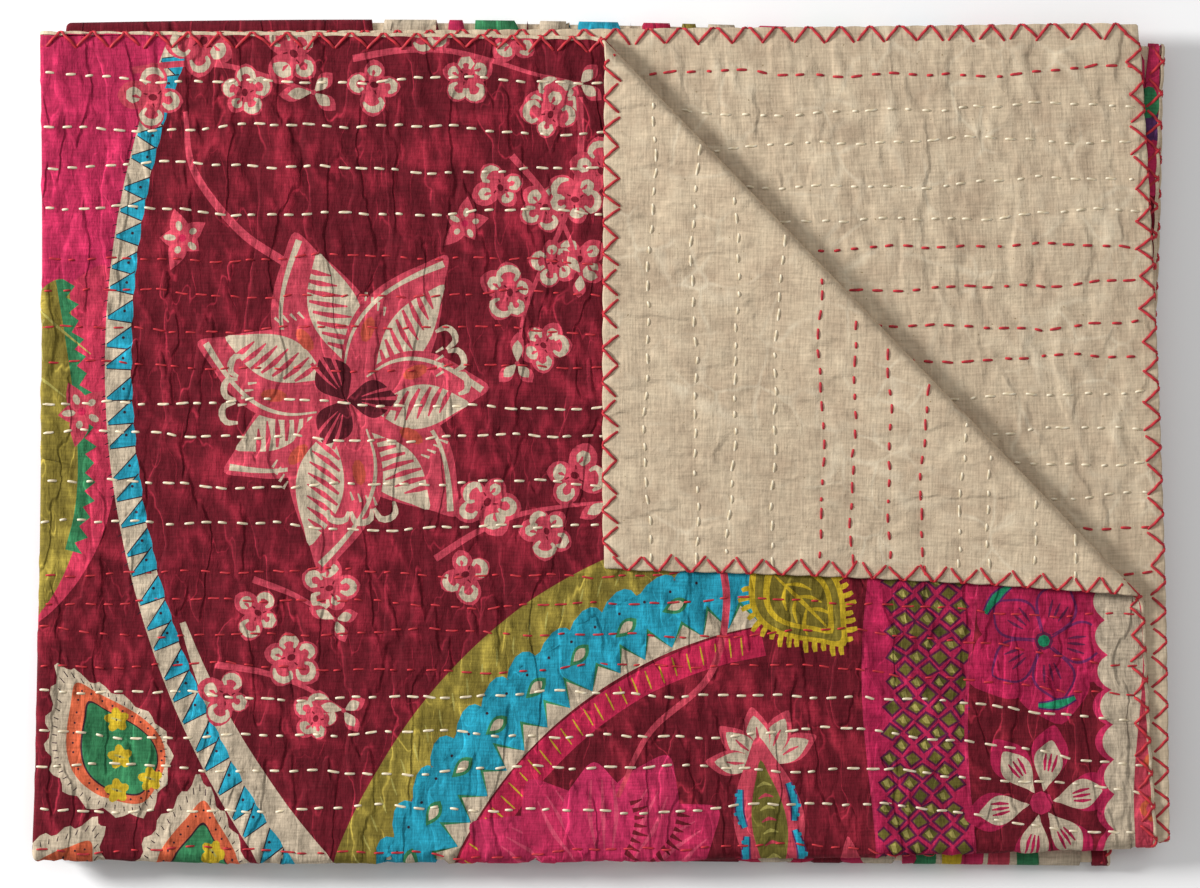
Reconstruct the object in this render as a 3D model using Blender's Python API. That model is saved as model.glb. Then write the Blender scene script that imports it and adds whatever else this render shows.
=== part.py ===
"""Kantha quilt: a printed cotton face and a linen backing, folded in half from side to side with the
linen inside, then back and forth in four sections, with the free top corner turned back."""

import math

import bmesh
import bpy
from mathutils import Vector

# ---- cloth, in metres -----------------------------------------------------------------------------
CLOTH = 0.0010            # thickness of each of the two cloths
SEAM_GAP = 0.0003         # between the face and its backing
LINEN_GAP = 0.0010        # between the two linen sides inside the sideways fold
STACK_GAP = 0.0010        # between one folded pair and the next

LINEN_MIDDLE = LINEN_GAP / 2 + CLOTH / 2
FACE_MIDDLE = LINEN_MIDDLE + CLOTH + SEAM_GAP
LAYER_MIDDLE = (LINEN_MIDDLE + FACE_MIDDLE) / 2
LAYER_THICKNESS = 2 * CLOTH + SEAM_GAP
PAIR_HALF = FACE_MIDDLE + CLOTH / 2
PAIR_PITCH = 2 * PAIR_HALF + STACK_GAP

# ---- outline of the pile --------------------------------------------------------------------------
# Lines across the pile, in order along the cloth: y at the left, middle and right side; how far the
# underneath half's finished edge lies beyond that at the right; x of the left side; x of the right
# side of half a, which starts on top, and of half b, which starts underneath.
LINES = {
    # name            y_left   y_middle  y_right  beyond_b  x_left    right_a   right_b
    "first_edge":    (0.2791,  0.2757,   0.2633,  0.0222,   -0.3805,  0.3646,   0.3655),
    "front_fold_1":  (-0.2835, -0.2845,  -0.2745, 0.0,      -0.3856,  0.3775,   0.3862),
    "back_fold":     (0.2870,  0.2883,   0.2730,  0.0,      -0.3640,  0.3760,   0.3836),
    "front_fold_2":  (-0.2790, -0.2848,  -0.2890, 0.0,      -0.3840,  0.3475,   0.3465),
    "last_edge":     (0.2700,  0.2720,   0.2690,  0.0,      -0.3790,  0.3720,   0.3750),
}
# Sections between those lines, from the top of the pile down, with the same sides half way along.
SECTIONS = (
    # from            to              x_left    right_a  right_b
    ("first_edge",   "front_fold_1",  -0.3800,  0.3655,  0.3805),
    ("front_fold_1", "back_fold",     -0.3790,  0.3740,  0.3770),
    ("back_fold",    "front_fold_2",  -0.3785,  0.3700,  0.3740),
    ("front_fold_2", "last_edge",     -0.3820,  0.3660,  0.3700),
)
PILE_LEFT = -0.386
PILE_WIDTH = 0.772
PILE_FRONT = -0.288
PILE_BACK = 0.288

# ---- how the pile swells at its folds -------------------------------------------------------------
END_SWELL = 0.0018        # extra height where a back-and-forth fold turns
END_REACH = 0.075         # how far in from the fold the swelling runs
SIDE_SWELL = 0.0005       # extra half height of a pair at the sideways fold
SIDE_REACH = 0.060

# ---- turned-back corner ---------------------------------------------------------------------------
CREASE_TOP = Vector((0.0034, 0.2743))      # the fold's outer line, where it meets the top edge
CREASE_SIDE = Vector((0.3667, -0.1025))    # and the right edge
ROLL_RADIUS = 0.0052                       # of the layer's middle round the fold
SLOPE = math.radians(7)                    # of the flap, down from the roll
SETTLE_RADIUS = 0.040                      # where the flap eases down to lie flat
FLAP_REST = LAYER_THICKNESS + STACK_GAP    # between the layer's middles once it lies flat

# ---- mesh density ---------------------------------------------------------------------------------
LONG_STEPS = (0.0, 0.05, 0.12, 0.36, 0.62, 0.88, 0.95, 1.0)
CROSS_STEPS = (0.0, 0.03, 0.08, 0.24, 0.42, 0.61, 0.81, 1.0)
END_ARC_STEPS = 6
SIDE_ARC_STEPS = 4
ROLL_STEPS = 7

# ---- materials: colour, roughness -----------------------------------------------------------------
MATERIALS = {
    "printed_cotton": ((0.145, 0.028, 0.045), 0.85),
    "linen": ((0.48, 0.41, 0.30), 0.90),
}


def through(start, middle, end, f):
    """Value at f of the smooth curve through a start, a middle and an end."""
    return start * (1 - f) * (1 - 2 * f) + 4 * middle * f * (1 - f) + end * f * (2 * f - 1)


def ease(f):
    f = min(max(f, 0.0), 1.0)
    return f * f * (3 - 2 * f)


def side_swell(x):
    return SIDE_SWELL * ease(1 - (x - PILE_LEFT) / SIDE_REACH)


def pair_height(section, x, y):
    """Height of the middle of the folded pair in a section; section 0 is the uppermost."""
    front = END_SWELL * ease(1 - (y - PILE_FRONT) / END_REACH)
    back = END_SWELL * ease(1 - (PILE_BACK - y) / END_REACH)
    height = PAIR_HALF + side_swell(x)
    for section_below, swell in ((2, front), (1, back), (0, front)):
        if section <= section_below:
            height += PAIR_PITCH + 2 * side_swell(x) + swell
    return height


def line_y(name, x, half):
    """y of a fold's outer line or of a finished edge."""
    y_left, y_middle, y_right, beyond_b = LINES[name][:4]
    across = (x - PILE_LEFT) / PILE_WIDTH
    y = through(y_left, y_middle, y_right, across)
    return y + beyond_b * across * across if half == "b" else y


def sides(section, f, half):
    """Left and right side of a cloth half, at f along a section."""
    start, end, middle_left, middle_a, middle_b = SECTIONS[section]
    column, middle_right = (5, middle_a) if half == "a" else (6, middle_b)
    left = through(LINES[start][4], middle_left, LINES[end][4], f)
    right = through(LINES[start][column], middle_right, LINES[end][column], f)
    return left, right


def arc_radius(section, x, y):
    """Radius of the pair's middle in the fold between a section and the next one down."""
    return (pair_height(section, x, y) - pair_height(section + 1, x, y)) / 2


def flat_end(name, upper_section, x, half):
    """y where the flat of a section gives way to the fold or the finished edge at a line."""
    y = line_y(name, x, half)
    if name.endswith("edge"):
        return y
    reach = arc_radius(upper_section, x, y) + PAIR_HALF + side_swell(x)
    return y + reach if name.startswith("front") else y - reach


def cross_places():
    """Places across the cloth, right side of half a to right side of half b: half, place, turn."""
    places = [("a", place, 0.0) for place in reversed(CROSS_STEPS)]
    for step in range(1, SIDE_ARC_STEPS):
        turn = math.pi * step / SIDE_ARC_STEPS
        places.append(("a" if step <= SIDE_ARC_STEPS // 2 else "b", 0.0, turn))
    return places + [("b", place, math.pi) for place in CROSS_STEPS]


def long_places():
    """Places along the cloth, first edge to last edge: section, place, bend round its end fold."""
    places = []
    for section in range(len(SECTIONS)):
        places += [(section, place, 0.0) for place in LONG_STEPS]
        if section < len(SECTIONS) - 1:
            bends = [math.pi * step / END_ARC_STEPS for step in range(1, END_ARC_STEPS)]
            places += [(section, 1.0, bend) for bend in bends]
    return places


def cloth_point(cross, along, offset):
    """A point of a cloth: the sideways fold, carried along the back-and-forth path."""
    half, place, turn = cross
    section, f, bend = along
    left, right = sides(section, f, half)
    axis_x = left + PAIR_HALF + side_swell(left)
    if 0.0 < turn < math.pi:
        reach = offset + side_swell(left)
        x = axis_x - math.sin(turn) * reach
    else:
        x = axis_x + place * (right - axis_x)
        reach = offset + side_swell(x)
    lift = math.cos(turn) * reach
    if section % 2 == 1:
        lift = -lift

    start, end = SECTIONS[section][:2]
    y_start = flat_end(start, section - 1, x, half)
    y_end = flat_end(end, section, x, half)
    y = y_start + f * (y_end - y_start)
    if bend == 0.0:
        return Vector((x, y, pair_height(section, x, y) + lift))
    radius = arc_radius(section, x, y)
    outward = -1 if end.startswith("front") else 1
    distance = radius + lift
    centre_z = pair_height(section, x, y) - radius
    return Vector((x, y + outward * math.sin(bend) * distance, centre_z + math.cos(bend) * distance))


def cloth_mesh(middle):
    """A closed sheet of one cloth, CLOTH thick, with its middle that far from the pair's middle."""
    cross = cross_places()
    along = long_places()
    bm = bmesh.new()
    outer = [[bm.verts.new(cloth_point(c, a, middle + CLOTH / 2)) for a in along] for c in cross]
    inner = [[bm.verts.new(cloth_point(c, a, middle - CLOTH / 2)) for a in along] for c in cross]
    columns = range(len(cross) - 1)
    rows = range(len(along) - 1)
    for i in columns:
        for j in rows:
            bm.faces.new((outer[i][j], outer[i + 1][j], outer[i + 1][j + 1], outer[i][j + 1]))
            bm.faces.new((inner[i][j + 1], inner[i + 1][j + 1], inner[i + 1][j], inner[i][j]))
    for j in rows:
        bm.faces.new((outer[0][j], outer[0][j + 1], inner[0][j + 1], inner[0][j]))
        bm.faces.new((outer[-1][j + 1], outer[-1][j], inner[-1][j], inner[-1][j + 1]))
    for i in columns:
        bm.faces.new((outer[i + 1][0], outer[i][0], inner[i][0], inner[i + 1][0]))
        bm.faces.new((outer[i][-1], outer[i + 1][-1], inner[i + 1][-1], inner[i][-1]))
    bmesh.ops.recalc_face_normals(bm, faces=bm.faces)
    return bm


# ---- the turned-back corner -----------------------------------------------------------------------
ALONG_CREASE = (CREASE_SIDE - CREASE_TOP).normalized()
TO_CORNER = Vector((-ALONG_CREASE.y, ALONG_CREASE.x))
ROLL_START = CREASE_TOP - TO_CORNER * (ROLL_RADIUS + LAYER_THICKNESS / 2)
ROLL_OVER = math.pi + SLOPE
ROLL_LENGTH = ROLL_RADIUS * ROLL_OVER
ROLL_HEIGHT = ROLL_RADIUS * (1 + math.cos(SLOPE))
SETTLE_LENGTH = SETTLE_RADIUS * SLOPE
SETTLE_DROP = SETTLE_RADIUS * (1 - math.cos(SLOPE))
SLOPE_LENGTH = (ROLL_HEIGHT - FLAP_REST - SETTLE_DROP) / math.sin(SLOPE)


def turned_back(distance):
    """Where the layer's middle lies, that far past the start of the roll: run, rise, direction."""
    if distance < ROLL_LENGTH:
        turn = distance / ROLL_RADIUS
        return ROLL_RADIUS * math.sin(turn), ROLL_RADIUS * (1 - math.cos(turn)), turn
    run = -ROLL_RADIUS * math.sin(SLOPE)
    distance -= ROLL_LENGTH
    if distance < SLOPE_LENGTH:
        return run - distance * math.cos(SLOPE), ROLL_HEIGHT - distance * math.sin(SLOPE), ROLL_OVER
    run -= SLOPE_LENGTH * math.cos(SLOPE)
    distance -= SLOPE_LENGTH
    if distance < SETTLE_LENGTH:
        left_to_turn = SLOPE - distance / SETTLE_RADIUS
        run -= SETTLE_RADIUS * (math.sin(SLOPE) - math.sin(left_to_turn))
        return run, FLAP_REST + SETTLE_RADIUS * (1 - math.cos(left_to_turn)), math.pi + left_to_turn
    run -= SETTLE_RADIUS * math.sin(SLOPE)
    return run - (distance - SETTLE_LENGTH), FLAP_REST, math.pi


def layer_height(x, y):
    """Height of the middle of the uppermost layer."""
    return pair_height(0, x, y) + LAYER_MIDDLE + side_swell(x)


def in_top_layer(point):
    return point.z > pair_height(0, point.x, point.y)


def turn_back_corner(bm):
    """Cuts the uppermost layer's facets along the fold and carries its corner round and back."""
    cuts = [ROLL_LENGTH * step / ROLL_STEPS for step in range(ROLL_STEPS + 1)]
    cuts += [ROLL_LENGTH + SLOPE_LENGTH, ROLL_LENGTH + SLOPE_LENGTH + SETTLE_LENGTH]
    for cut in cuts:
        faces = [f for f in bm.faces if all(in_top_layer(v.co) for v in f.verts)]
        edges = {e for f in faces for e in f.edges}
        verts = {v for f in faces for v in f.verts}
        place = ROLL_START + TO_CORNER * cut
        bmesh.ops.bisect_plane(
            bm,
            geom=list(verts) + list(edges) + faces,
            plane_co=(place.x, place.y, 0.0),
            plane_no=(TO_CORNER.x, TO_CORNER.y, 0.0),
            dist=1e-6,
        )
    for vert in bm.verts:
        plan = vert.co.xy
        distance = (plan - ROLL_START).dot(TO_CORNER)
        if distance <= 0 or not in_top_layer(vert.co):
            continue
        above = vert.co.z - layer_height(*plan)
        run, rise, turn = turned_back(distance)
        moved = plan + TO_CORNER * (run - math.sin(turn) * above - distance)
        vert.co = (*moved, layer_height(*moved) + rise + math.cos(turn) * above)


def make_material(name):
    colour, roughness = MATERIALS[name]
    material = bpy.data.materials.new(name)
    material.use_nodes = True
    shader = material.node_tree.nodes["Principled BSDF"]
    shader.inputs["Base Color"].default_value = (*colour, 1.0)
    shader.inputs["Roughness"].default_value = roughness
    return material


def make_cloth(name, middle, material_name):
    bm = cloth_mesh(middle)
    turn_back_corner(bm)
    bmesh.ops.triangulate(bm, faces=bm.faces)
    mesh = bpy.data.meshes.new(name)
    bm.to_mesh(mesh)
    bm.free()
    mesh.materials.append(make_material(material_name))
    bpy.context.scene.collection.objects.link(bpy.data.objects.new(name, mesh))


for old in list(bpy.data.objects):
    bpy.data.objects.remove(old, do_unlink=True)
make_cloth("printed_face", FACE_MIDDLE, "printed_cotton")
make_cloth("linen_backing", LINEN_MIDDLE, "linen")
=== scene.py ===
import math

import bpy
import numpy as np
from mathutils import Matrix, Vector
from mathutils.geometry import delaunay_2d_cdt


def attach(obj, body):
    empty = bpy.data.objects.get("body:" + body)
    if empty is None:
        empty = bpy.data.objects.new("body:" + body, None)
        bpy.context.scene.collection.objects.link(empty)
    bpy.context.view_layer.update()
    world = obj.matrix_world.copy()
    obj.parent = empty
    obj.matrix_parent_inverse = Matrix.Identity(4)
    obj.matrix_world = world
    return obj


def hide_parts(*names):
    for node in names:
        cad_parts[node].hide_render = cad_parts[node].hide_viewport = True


# Kantha quilt: printed cotton over plain linen, held together by rows of running stitch, its edges
# whipped with red thread. Folded in half with the linen inside, then back and forth in four.

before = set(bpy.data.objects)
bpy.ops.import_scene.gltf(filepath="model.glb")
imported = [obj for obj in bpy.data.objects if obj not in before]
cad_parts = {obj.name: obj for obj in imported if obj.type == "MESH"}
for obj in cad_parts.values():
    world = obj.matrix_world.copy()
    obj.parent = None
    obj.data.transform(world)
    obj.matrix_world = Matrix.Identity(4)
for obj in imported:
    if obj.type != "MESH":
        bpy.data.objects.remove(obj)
bpy.ops.object.select_all(action="DESELECT")
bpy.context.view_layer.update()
MM = 0.001


def linear(colour):
    """sRGB hex to the linear values that the shaders take."""
    values = [int(colour[i:i + 2], 16) / 255 for i in (1, 3, 5)]
    return tuple(v / 12.92 if v <= 0.04045 else ((v + 0.055) / 1.055) ** 2.4 for v in values)


# ---- the fold, with the sizes of the two CAD cloths ----------------------------------------------
CLOTH = 0.0010
SEAM_GAP = 0.0003
LINEN_GAP = 0.0010
STACK_GAP = 0.0010
LINEN_OUT = LINEN_GAP / 2                  # the linen's visible side, from the pair's middle
FACE_OUT = LINEN_OUT + 2 * CLOTH + SEAM_GAP  # the print's visible side
LAYER_MIDDLE = (LINEN_OUT + FACE_OUT) / 2
LAYER_HALF = (FACE_OUT - LINEN_OUT) / 2
PAIR_PITCH = 2 * FACE_OUT + STACK_GAP

# A row for each line across the pile, in order along the cloth: y at left, middle and right, how far
# half b's finished edge lies beyond half a's, then x of the left side and of the two right sides.
LINES = np.array((
    # y_left  y_middle y_right  beyond_b x_left   right_a  right_b
    (0.2791,  0.2757,  0.2633,  0.0222,  -0.3805, 0.3646,  0.3655),   # first finished edge
    (-0.2835, -0.2845, -0.2745, 0.0,     -0.3856, 0.3775,  0.3862),   # first front fold
    (0.2870,  0.2883,  0.2730,  0.0,     -0.3640, 0.3760,  0.3836),   # back fold
    (-0.2790, -0.2848, -0.2890, 0.0,     -0.3840, 0.3475,  0.3465),   # second front fold
    (0.2700,  0.2720,  0.2690,  0.0,     -0.3790, 0.3720,  0.3750),   # last finished edge
))
# The same sides half way along each section between those lines.
MIDDLES = np.array((
    # x_left  right_a  right_b
    (-0.3800, 0.3655,  0.3805),
    (-0.3790, 0.3740,  0.3770),
    (-0.3785, 0.3700,  0.3740),
    (-0.3820, 0.3660,  0.3700),
))
OUTWARD = np.array((0, -1, 1, -1, 0))      # which way each line's fold points along y; 0 is an edge
PILE_LEFT, PILE_WIDTH = -0.386, 0.772
PILE_FRONT, PILE_BACK = -0.288, 0.288
END_SWELL, END_REACH = 0.0018, 0.075
SIDE_SWELL, SIDE_REACH = 0.0005, 0.060

CREASE_TOP = np.array((0.0034, 0.2743))
CREASE_SIDE = np.array((0.3667, -0.1025))
ROLL_RADIUS = 0.0052
SLOPE = math.radians(7)
SETTLE_RADIUS = 0.040
FLAP_REST = 2 * LAYER_HALF + STACK_GAP

# ---- the cloth laid flat: across is 0 at the sideways fold, plus on half a, minus on half b -------
HALF = 0.762
LENGTH = 2.286
HAIR = math.pi / 2 * (LAYER_MIDDLE + SIDE_SWELL)       # half the sideways fold's arc
ARC = math.pi / 2 * (PAIR_PITCH + END_SWELL)           # the arc of a back-and-forth fold
RUN = (LENGTH - 3 * ARC) / 4                           # the flat of a section


def through(start, middle, end, f):
    return start * (1 - f) * (1 - 2 * f) + 4 * middle * f * (1 - f) + end * f * (2 * f - 1)


def ease(f):
    f = np.clip(f, 0.0, 1.0)
    return f * f * (3 - 2 * f)


def side_swell(x):
    return SIDE_SWELL * ease(1 - (x - PILE_LEFT) / SIDE_REACH)


def pair_height(section, x, y):
    front = END_SWELL * ease(1 - (y - PILE_FRONT) / END_REACH)
    back = END_SWELL * ease(1 - (PILE_BACK - y) / END_REACH)
    height = FACE_OUT + side_swell(x)
    for below, swell in ((2, front), (1, back), (0, front)):
        height = height + (section <= below) * (PAIR_PITCH + 2 * side_swell(x) + swell)
    return height


def arc_radius(section, x, y):
    return (pair_height(section, x, y) - pair_height(section + 1, x, y)) / 2


def line_y(line, x, on_b):
    rows = LINES[line]
    place = (x - PILE_LEFT) / PILE_WIDTH
    y = through(rows[..., 0], rows[..., 1], rows[..., 2], place)
    return y + on_b * rows[..., 3] * place * place


def flat_end(line, upper_section, x, on_b):
    y = line_y(line, x, on_b)
    reach = arc_radius(np.clip(upper_section, 0, 2), x, y) + FACE_OUT + side_swell(x)
    return y - OUTWARD[line] * reach


def side_lines(section, f, on_b):
    """x of the sideways fold's axis and of the right side."""
    start, end, middle = LINES[section], LINES[section + 1], MIDDLES[section]
    left = through(start[..., 4], middle[..., 0], end[..., 4], f)
    right_a = through(start[..., 5], middle[..., 1], end[..., 5], f)
    right_b = through(start[..., 6], middle[..., 2], end[..., 6], f)
    return left, left + FACE_OUT + side_swell(left), np.where(on_b, right_b, right_a)


def ripple(x, y):
    """The pile's soft unevenness, as a share of the height."""
    return (
        0.030 * np.sin(x / 0.083 + 1.3 * np.sin(y / 0.11)) * np.sin(y / 0.069 + 0.8)
        + 0.018 * np.sin(x / 0.037 + y / 0.052)
        + 0.020 * np.sin(x / 0.19 - y / 0.13 + 2.0)
    )


ALONG_CREASE = (CREASE_SIDE - CREASE_TOP) / np.linalg.norm(CREASE_SIDE - CREASE_TOP)
TO_CORNER = np.array((-ALONG_CREASE[1], ALONG_CREASE[0]))
ROLL_START = CREASE_TOP - TO_CORNER * (ROLL_RADIUS + LAYER_HALF)
ROLL_OVER = math.pi + SLOPE
ROLL_LENGTH = ROLL_RADIUS * ROLL_OVER
ROLL_HEIGHT = ROLL_RADIUS * (1 + math.cos(SLOPE))
SETTLE_LENGTH = SETTLE_RADIUS * SLOPE
SETTLE_DROP = SETTLE_RADIUS * (1 - math.cos(SLOPE))
SLOPE_LENGTH = (ROLL_HEIGHT - FLAP_REST - SETTLE_DROP) / math.sin(SLOPE)


def turned_back(d):
    """Run, rise and direction of the layer's middle, d past the start of the corner's roll."""
    turn = d / ROLL_RADIUS
    on_slope = d - ROLL_LENGTH
    settling = on_slope - SLOPE_LENGTH
    left_to_turn = SLOPE - settling / SETTLE_RADIUS
    lying = settling - SETTLE_LENGTH
    slope_run = -ROLL_RADIUS * math.sin(SLOPE) - SLOPE_LENGTH * math.cos(SLOPE)
    cases = (on_slope < 0, settling < 0, lying < 0)
    run = np.select(cases, (
        ROLL_RADIUS * np.sin(turn),
        -ROLL_RADIUS * math.sin(SLOPE) - on_slope * math.cos(SLOPE),
        slope_run - SETTLE_RADIUS * (math.sin(SLOPE) - np.sin(left_to_turn)),
    ), slope_run - SETTLE_RADIUS * math.sin(SLOPE) - lying)
    rise = np.select(cases, (
        ROLL_RADIUS * (1 - np.cos(turn)),
        ROLL_HEIGHT - on_slope * math.sin(SLOPE),
        FLAP_REST + SETTLE_RADIUS * (1 - np.cos(left_to_turn)),
    ), FLAP_REST)
    direction = np.select(cases, (turn, ROLL_OVER, math.pi + left_to_turn), math.pi)
    return run, rise, direction


def layer_height(x, y):
    return pair_height(0, x, y) + LAYER_MIDDLE + side_swell(x)


def laid(across, along, out):
    """Points of the folded cloth before its corner is turned back, with the section of each."""
    across, along, out = np.broadcast_arrays(*(np.asarray(v, float) for v in (across, along, out)))
    on_b = across < 0
    section = np.clip(np.floor(along / (RUN + ARC)), 0, 3).astype(int)
    rest = along - section * (RUN + ARC)
    in_fold = (rest > RUN) & (section < 3)
    f = np.where(in_fold, 1.0, rest / RUN)
    bend = np.where(in_fold, (rest - RUN) / ARC * math.pi, 0.0)

    left, axis_x, right = side_lines(section, f, on_b)
    reach_left = out + side_swell(left)
    in_hairpin = np.abs(across) < HAIR
    turn = np.where(in_hairpin, math.pi / 2 * (1 - across / HAIR), np.where(on_b, math.pi, 0.0))
    place = (np.abs(across) - HAIR) / (HALF - HAIR)
    x = np.where(in_hairpin, axis_x - np.sin(turn) * reach_left, axis_x + place * (right - axis_x))
    x = x + side_scallop(across, along)
    lift = np.cos(turn) * np.where(in_hairpin, reach_left, out + side_swell(x))
    lift = np.where(section % 2 == 1, -lift, lift)

    y_start = flat_end(section, section - 1, x, on_b)
    y_end = flat_end(section + 1, section, x, on_b)
    y = y_start + f * (y_end - y_start) + end_scallop(across, along)
    radius = arc_radius(np.clip(section, 0, 2), x, y)
    z_flat = pair_height(section, x, y)
    distance = radius + lift
    z = np.where(in_fold, z_flat - radius + np.cos(bend) * distance, z_flat + lift)
    y = y + np.where(in_fold, OUTWARD[section + 1] * np.sin(bend) * distance, 0.0)
    return x, y, z, section, in_fold


def past_roll_start(x, y):
    return (x - ROLL_START[0]) * TO_CORNER[0] + (y - ROLL_START[1]) * TO_CORNER[1]


def folded(across, along, out):
    """Points of the folded cloth. out is the distance from the middle of the pair of layers."""
    x, y, z, section, in_fold = laid(across, along, out)
    plan = np.stack((x, y), -1)
    d = past_roll_start(x, y)
    turned = (section == 0) & (np.broadcast_to(across, x.shape) > 0) & ~in_fold & (d > 0)
    run, rise, direction = turned_back(np.maximum(d, 0.0))
    above = z - layer_height(x, y)
    moved = plan + ((run - np.sin(direction) * above - d))[..., None] * TO_CORNER
    z_turned = layer_height(moved[..., 0], moved[..., 1]) + rise + np.cos(direction) * above
    plan = np.where(turned[..., None], moved, plan)
    z = np.where(turned, z_turned, z)
    z = z * (1 + ripple(plan[..., 0], plan[..., 1]) * ease(z / 0.012))
    return np.concatenate((plan, z[..., None]), -1)


def flat_from_plan(x, y, section=0, on_b=False):
    """Flat cloth coordinates of a place in plan, as it lies before the corner turns."""
    x, y = np.asarray(x, float), np.asarray(y, float)
    sections, halves = np.full(x.shape, section), np.full(x.shape, on_b)
    y_start = flat_end(sections, sections - 1, x, halves)
    y_end = flat_end(sections + 1, sections, x, halves)
    f = (y - y_start) / (y_end - y_start)
    _, axis_x, right = side_lines(sections, np.clip(f, 0, 1), halves)
    place = (x - axis_x) / (right - axis_x)
    return HAIR + place * (HALF - HAIR), section * (RUN + ARC) + f * RUN


# ---- edging: knots where the whipping thread crosses a finished edge ------------------------------
KNOT_PITCH = 0.0218
KNOT_UNEVEN = 0.0030
SCALLOP = 0.0011
SCALLOP_REACH = 0.007


def knots(start, end, seed):
    rng = np.random.default_rng(seed)
    steps = KNOT_PITCH + KNOT_UNEVEN * rng.uniform(-1, 1, int((end - start) / KNOT_PITCH) + 8)
    places = start + 0.0155 + np.cumsum(steps) - steps[0]
    return places[places < end - 0.0125]


EDGE_KNOTS = {
    "right_a": knots(0.0, LENGTH, 1),
    "right_b": knots(0.0, LENGTH, 2),
    "first": knots(-HALF, HALF, 3),
    "last": knots(-HALF, HALF, 4),
}


def bulge(edge, place):
    """0 at a knot, 1 half way between two."""
    marks = EDGE_KNOTS[edge]
    i = np.clip(np.searchsorted(marks, place) - 1, 0, len(marks) - 2)
    share = (place - marks[i]) / (marks[i + 1] - marks[i])
    return np.sin(math.pi * np.clip(share, 0, 1))


def side_scallop(across, along):
    """How far the right sides swell out between the knots."""
    near = ease(1 - (HALF - np.abs(across)) / SCALLOP_REACH)
    wave = np.where(across > 0, bulge("right_a", along), bulge("right_b", along))
    return near * SCALLOP * (wave - 0.6)


def end_scallop(across, along):
    """The same at the first and last finished edges, which both lie at the back."""
    near_first = ease(1 - along / SCALLOP_REACH)
    near_last = ease(1 - (LENGTH - along) / SCALLOP_REACH)
    waves = near_first * (bulge("first", across) - 0.6) + near_last * (bulge("last", across) - 0.6)
    return SCALLOP * waves


# ---- rows of running stitch -----------------------------------------------------------------------
# Distance of each row from the first edge in millimetres, and its thread, on the uppermost layer.
ROWS_A = (
    (31.2, "cream"), (63.8, "cream"), (91.0, "cream"), (121.5, "cream"),
    (153.5, "red"), (177.9, "red"), (201.7, "red"), (228.1, "red"),
    (253.3, "cream"), (275.7, "cream"), (308.3, "cream"), (336.8, "cream"),
    (369.4, "red"), (389.7, "red"), (410.8, "red"), (434.6, "red"),
    (453.5, "cream"), (480.5, "cream"), (504.5, "cream"), (531.7, "cream"),
    (560.5, "red"),
)
# The same on the layer below it, whose linen shows past the turned-back corner.
ROWS_B = (
    (31.0, "red"), (56.0, "cream"), (79.0, "cream"), (107.0, "cream"), (130.0, "cream"),
    (152.0, "red"), (177.5, "red"), (205.0, "red"), (230.0, "red"),
    (255.0, "cream"), (280.0, "cream"), (303.0, "cream"), (326.0, "cream"),
    (348.0, "red"), (373.0, "red"), (398.0, "red"), (424.0, "red"),
    (450.0, "cream"), (477.0, "cream"), (503.0, "cream"), (530.0, "cream"),
    (557.0, "red"),
)
ROW_PITCH = 26.4


def all_rows(first_rows):
    rows = list(first_rows)
    group = 1
    while rows[-1][0] + ROW_PITCH < LENGTH / MM - 12:
        thread = rows[-1][1] if group % 4 else ("cream" if rows[-1][1] == "red" else "red")
        rows.append((rows[-1][0] + ROW_PITCH, thread))
        group += 1
    return rows


ROWS = {"a": all_rows(ROWS_A), "b": all_rows(ROWS_B)}
ROW_PLACES = {half: np.array([row[0] for row in rows]) * MM for half, rows in ROWS.items()}
ROW_WAVES = {
    half: np.random.default_rng(seed).uniform(0, 2 * math.pi, (len(ROWS[half]), 3))
    for half, seed in (("a", 21), ("b", 22))
}


def row_along(half, row, across):
    """Where a row runs: it wavers, and near the right front corner it drifts towards the fold."""
    phase = ROW_WAVES[half][row]
    across = np.abs(across)
    place = ROW_PLACES[half][row]
    waver = (
        0.0021 * np.sin(across / 0.052 + phase[..., 0])
        + 0.0013 * np.sin(across / 0.021 + phase[..., 1])
        + 0.0006 * np.sin(across / 0.008 + phase[..., 2])
    )
    drift = 0.026 * np.clip((across - 0.565) / 0.19, 0, 1.1) * ease((place - 0.36) / 0.06)
    return place + waver + np.where(place < 0.6, drift, 0.0)


def from_nearest_row(across, along):
    """Distance to the nearest row of stitching, and that row's number."""
    distance = np.empty(across.shape)
    number = np.empty(across.shape, int)
    for half, mask in (("a", across >= 0), ("b", across < 0)):
        a, t = across[mask], along[mask]
        guess = np.searchsorted(ROW_PLACES[half], t)
        best = np.full(a.shape, 1.0)
        which = np.zeros(a.shape, int)
        for step in (-2, -1, 0, 1):
            row = np.clip(guess + step, 0, len(ROW_PLACES[half]) - 1)
            gap = t - row_along(half, row, a)
            closer = np.abs(gap) < np.abs(best)
            best = np.where(closer, gap, best)
            which = np.where(closer, row, which)
        distance[mask] = best
        number[mask] = which
    return distance, number


# ---- creases, puckers and the valleys that the stitches pull --------------------------------------
def noise(x, y, size, seed):
    """Smooth uneven values from -1 to 1, with lumps of about that size."""
    grid = np.random.default_rng(seed).uniform(-1, 1, (64, 64))
    x, y = x / size, y / size
    i, j = np.floor(x).astype(int), np.floor(y).astype(int)
    u, v = ease(x - i), ease(y - j)
    near = grid[i % 64, j % 64] * (1 - u) + grid[(i + 1) % 64, j % 64] * u
    far = grid[i % 64, (j + 1) % 64] * (1 - u) + grid[(i + 1) % 64, (j + 1) % 64] * u
    return near * (1 - v) + far * v


STITCH_PITCH = 0.0126
PUCKER = 0.00046
PUCKER_REACH = 0.0085
VALLEY = 0.00060
VALLEY_WIDTH = 0.0024
CRUMPLE = 0.00078
RIDGE_SHARE = 1.7
DEEPEST = 0.0017

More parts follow.
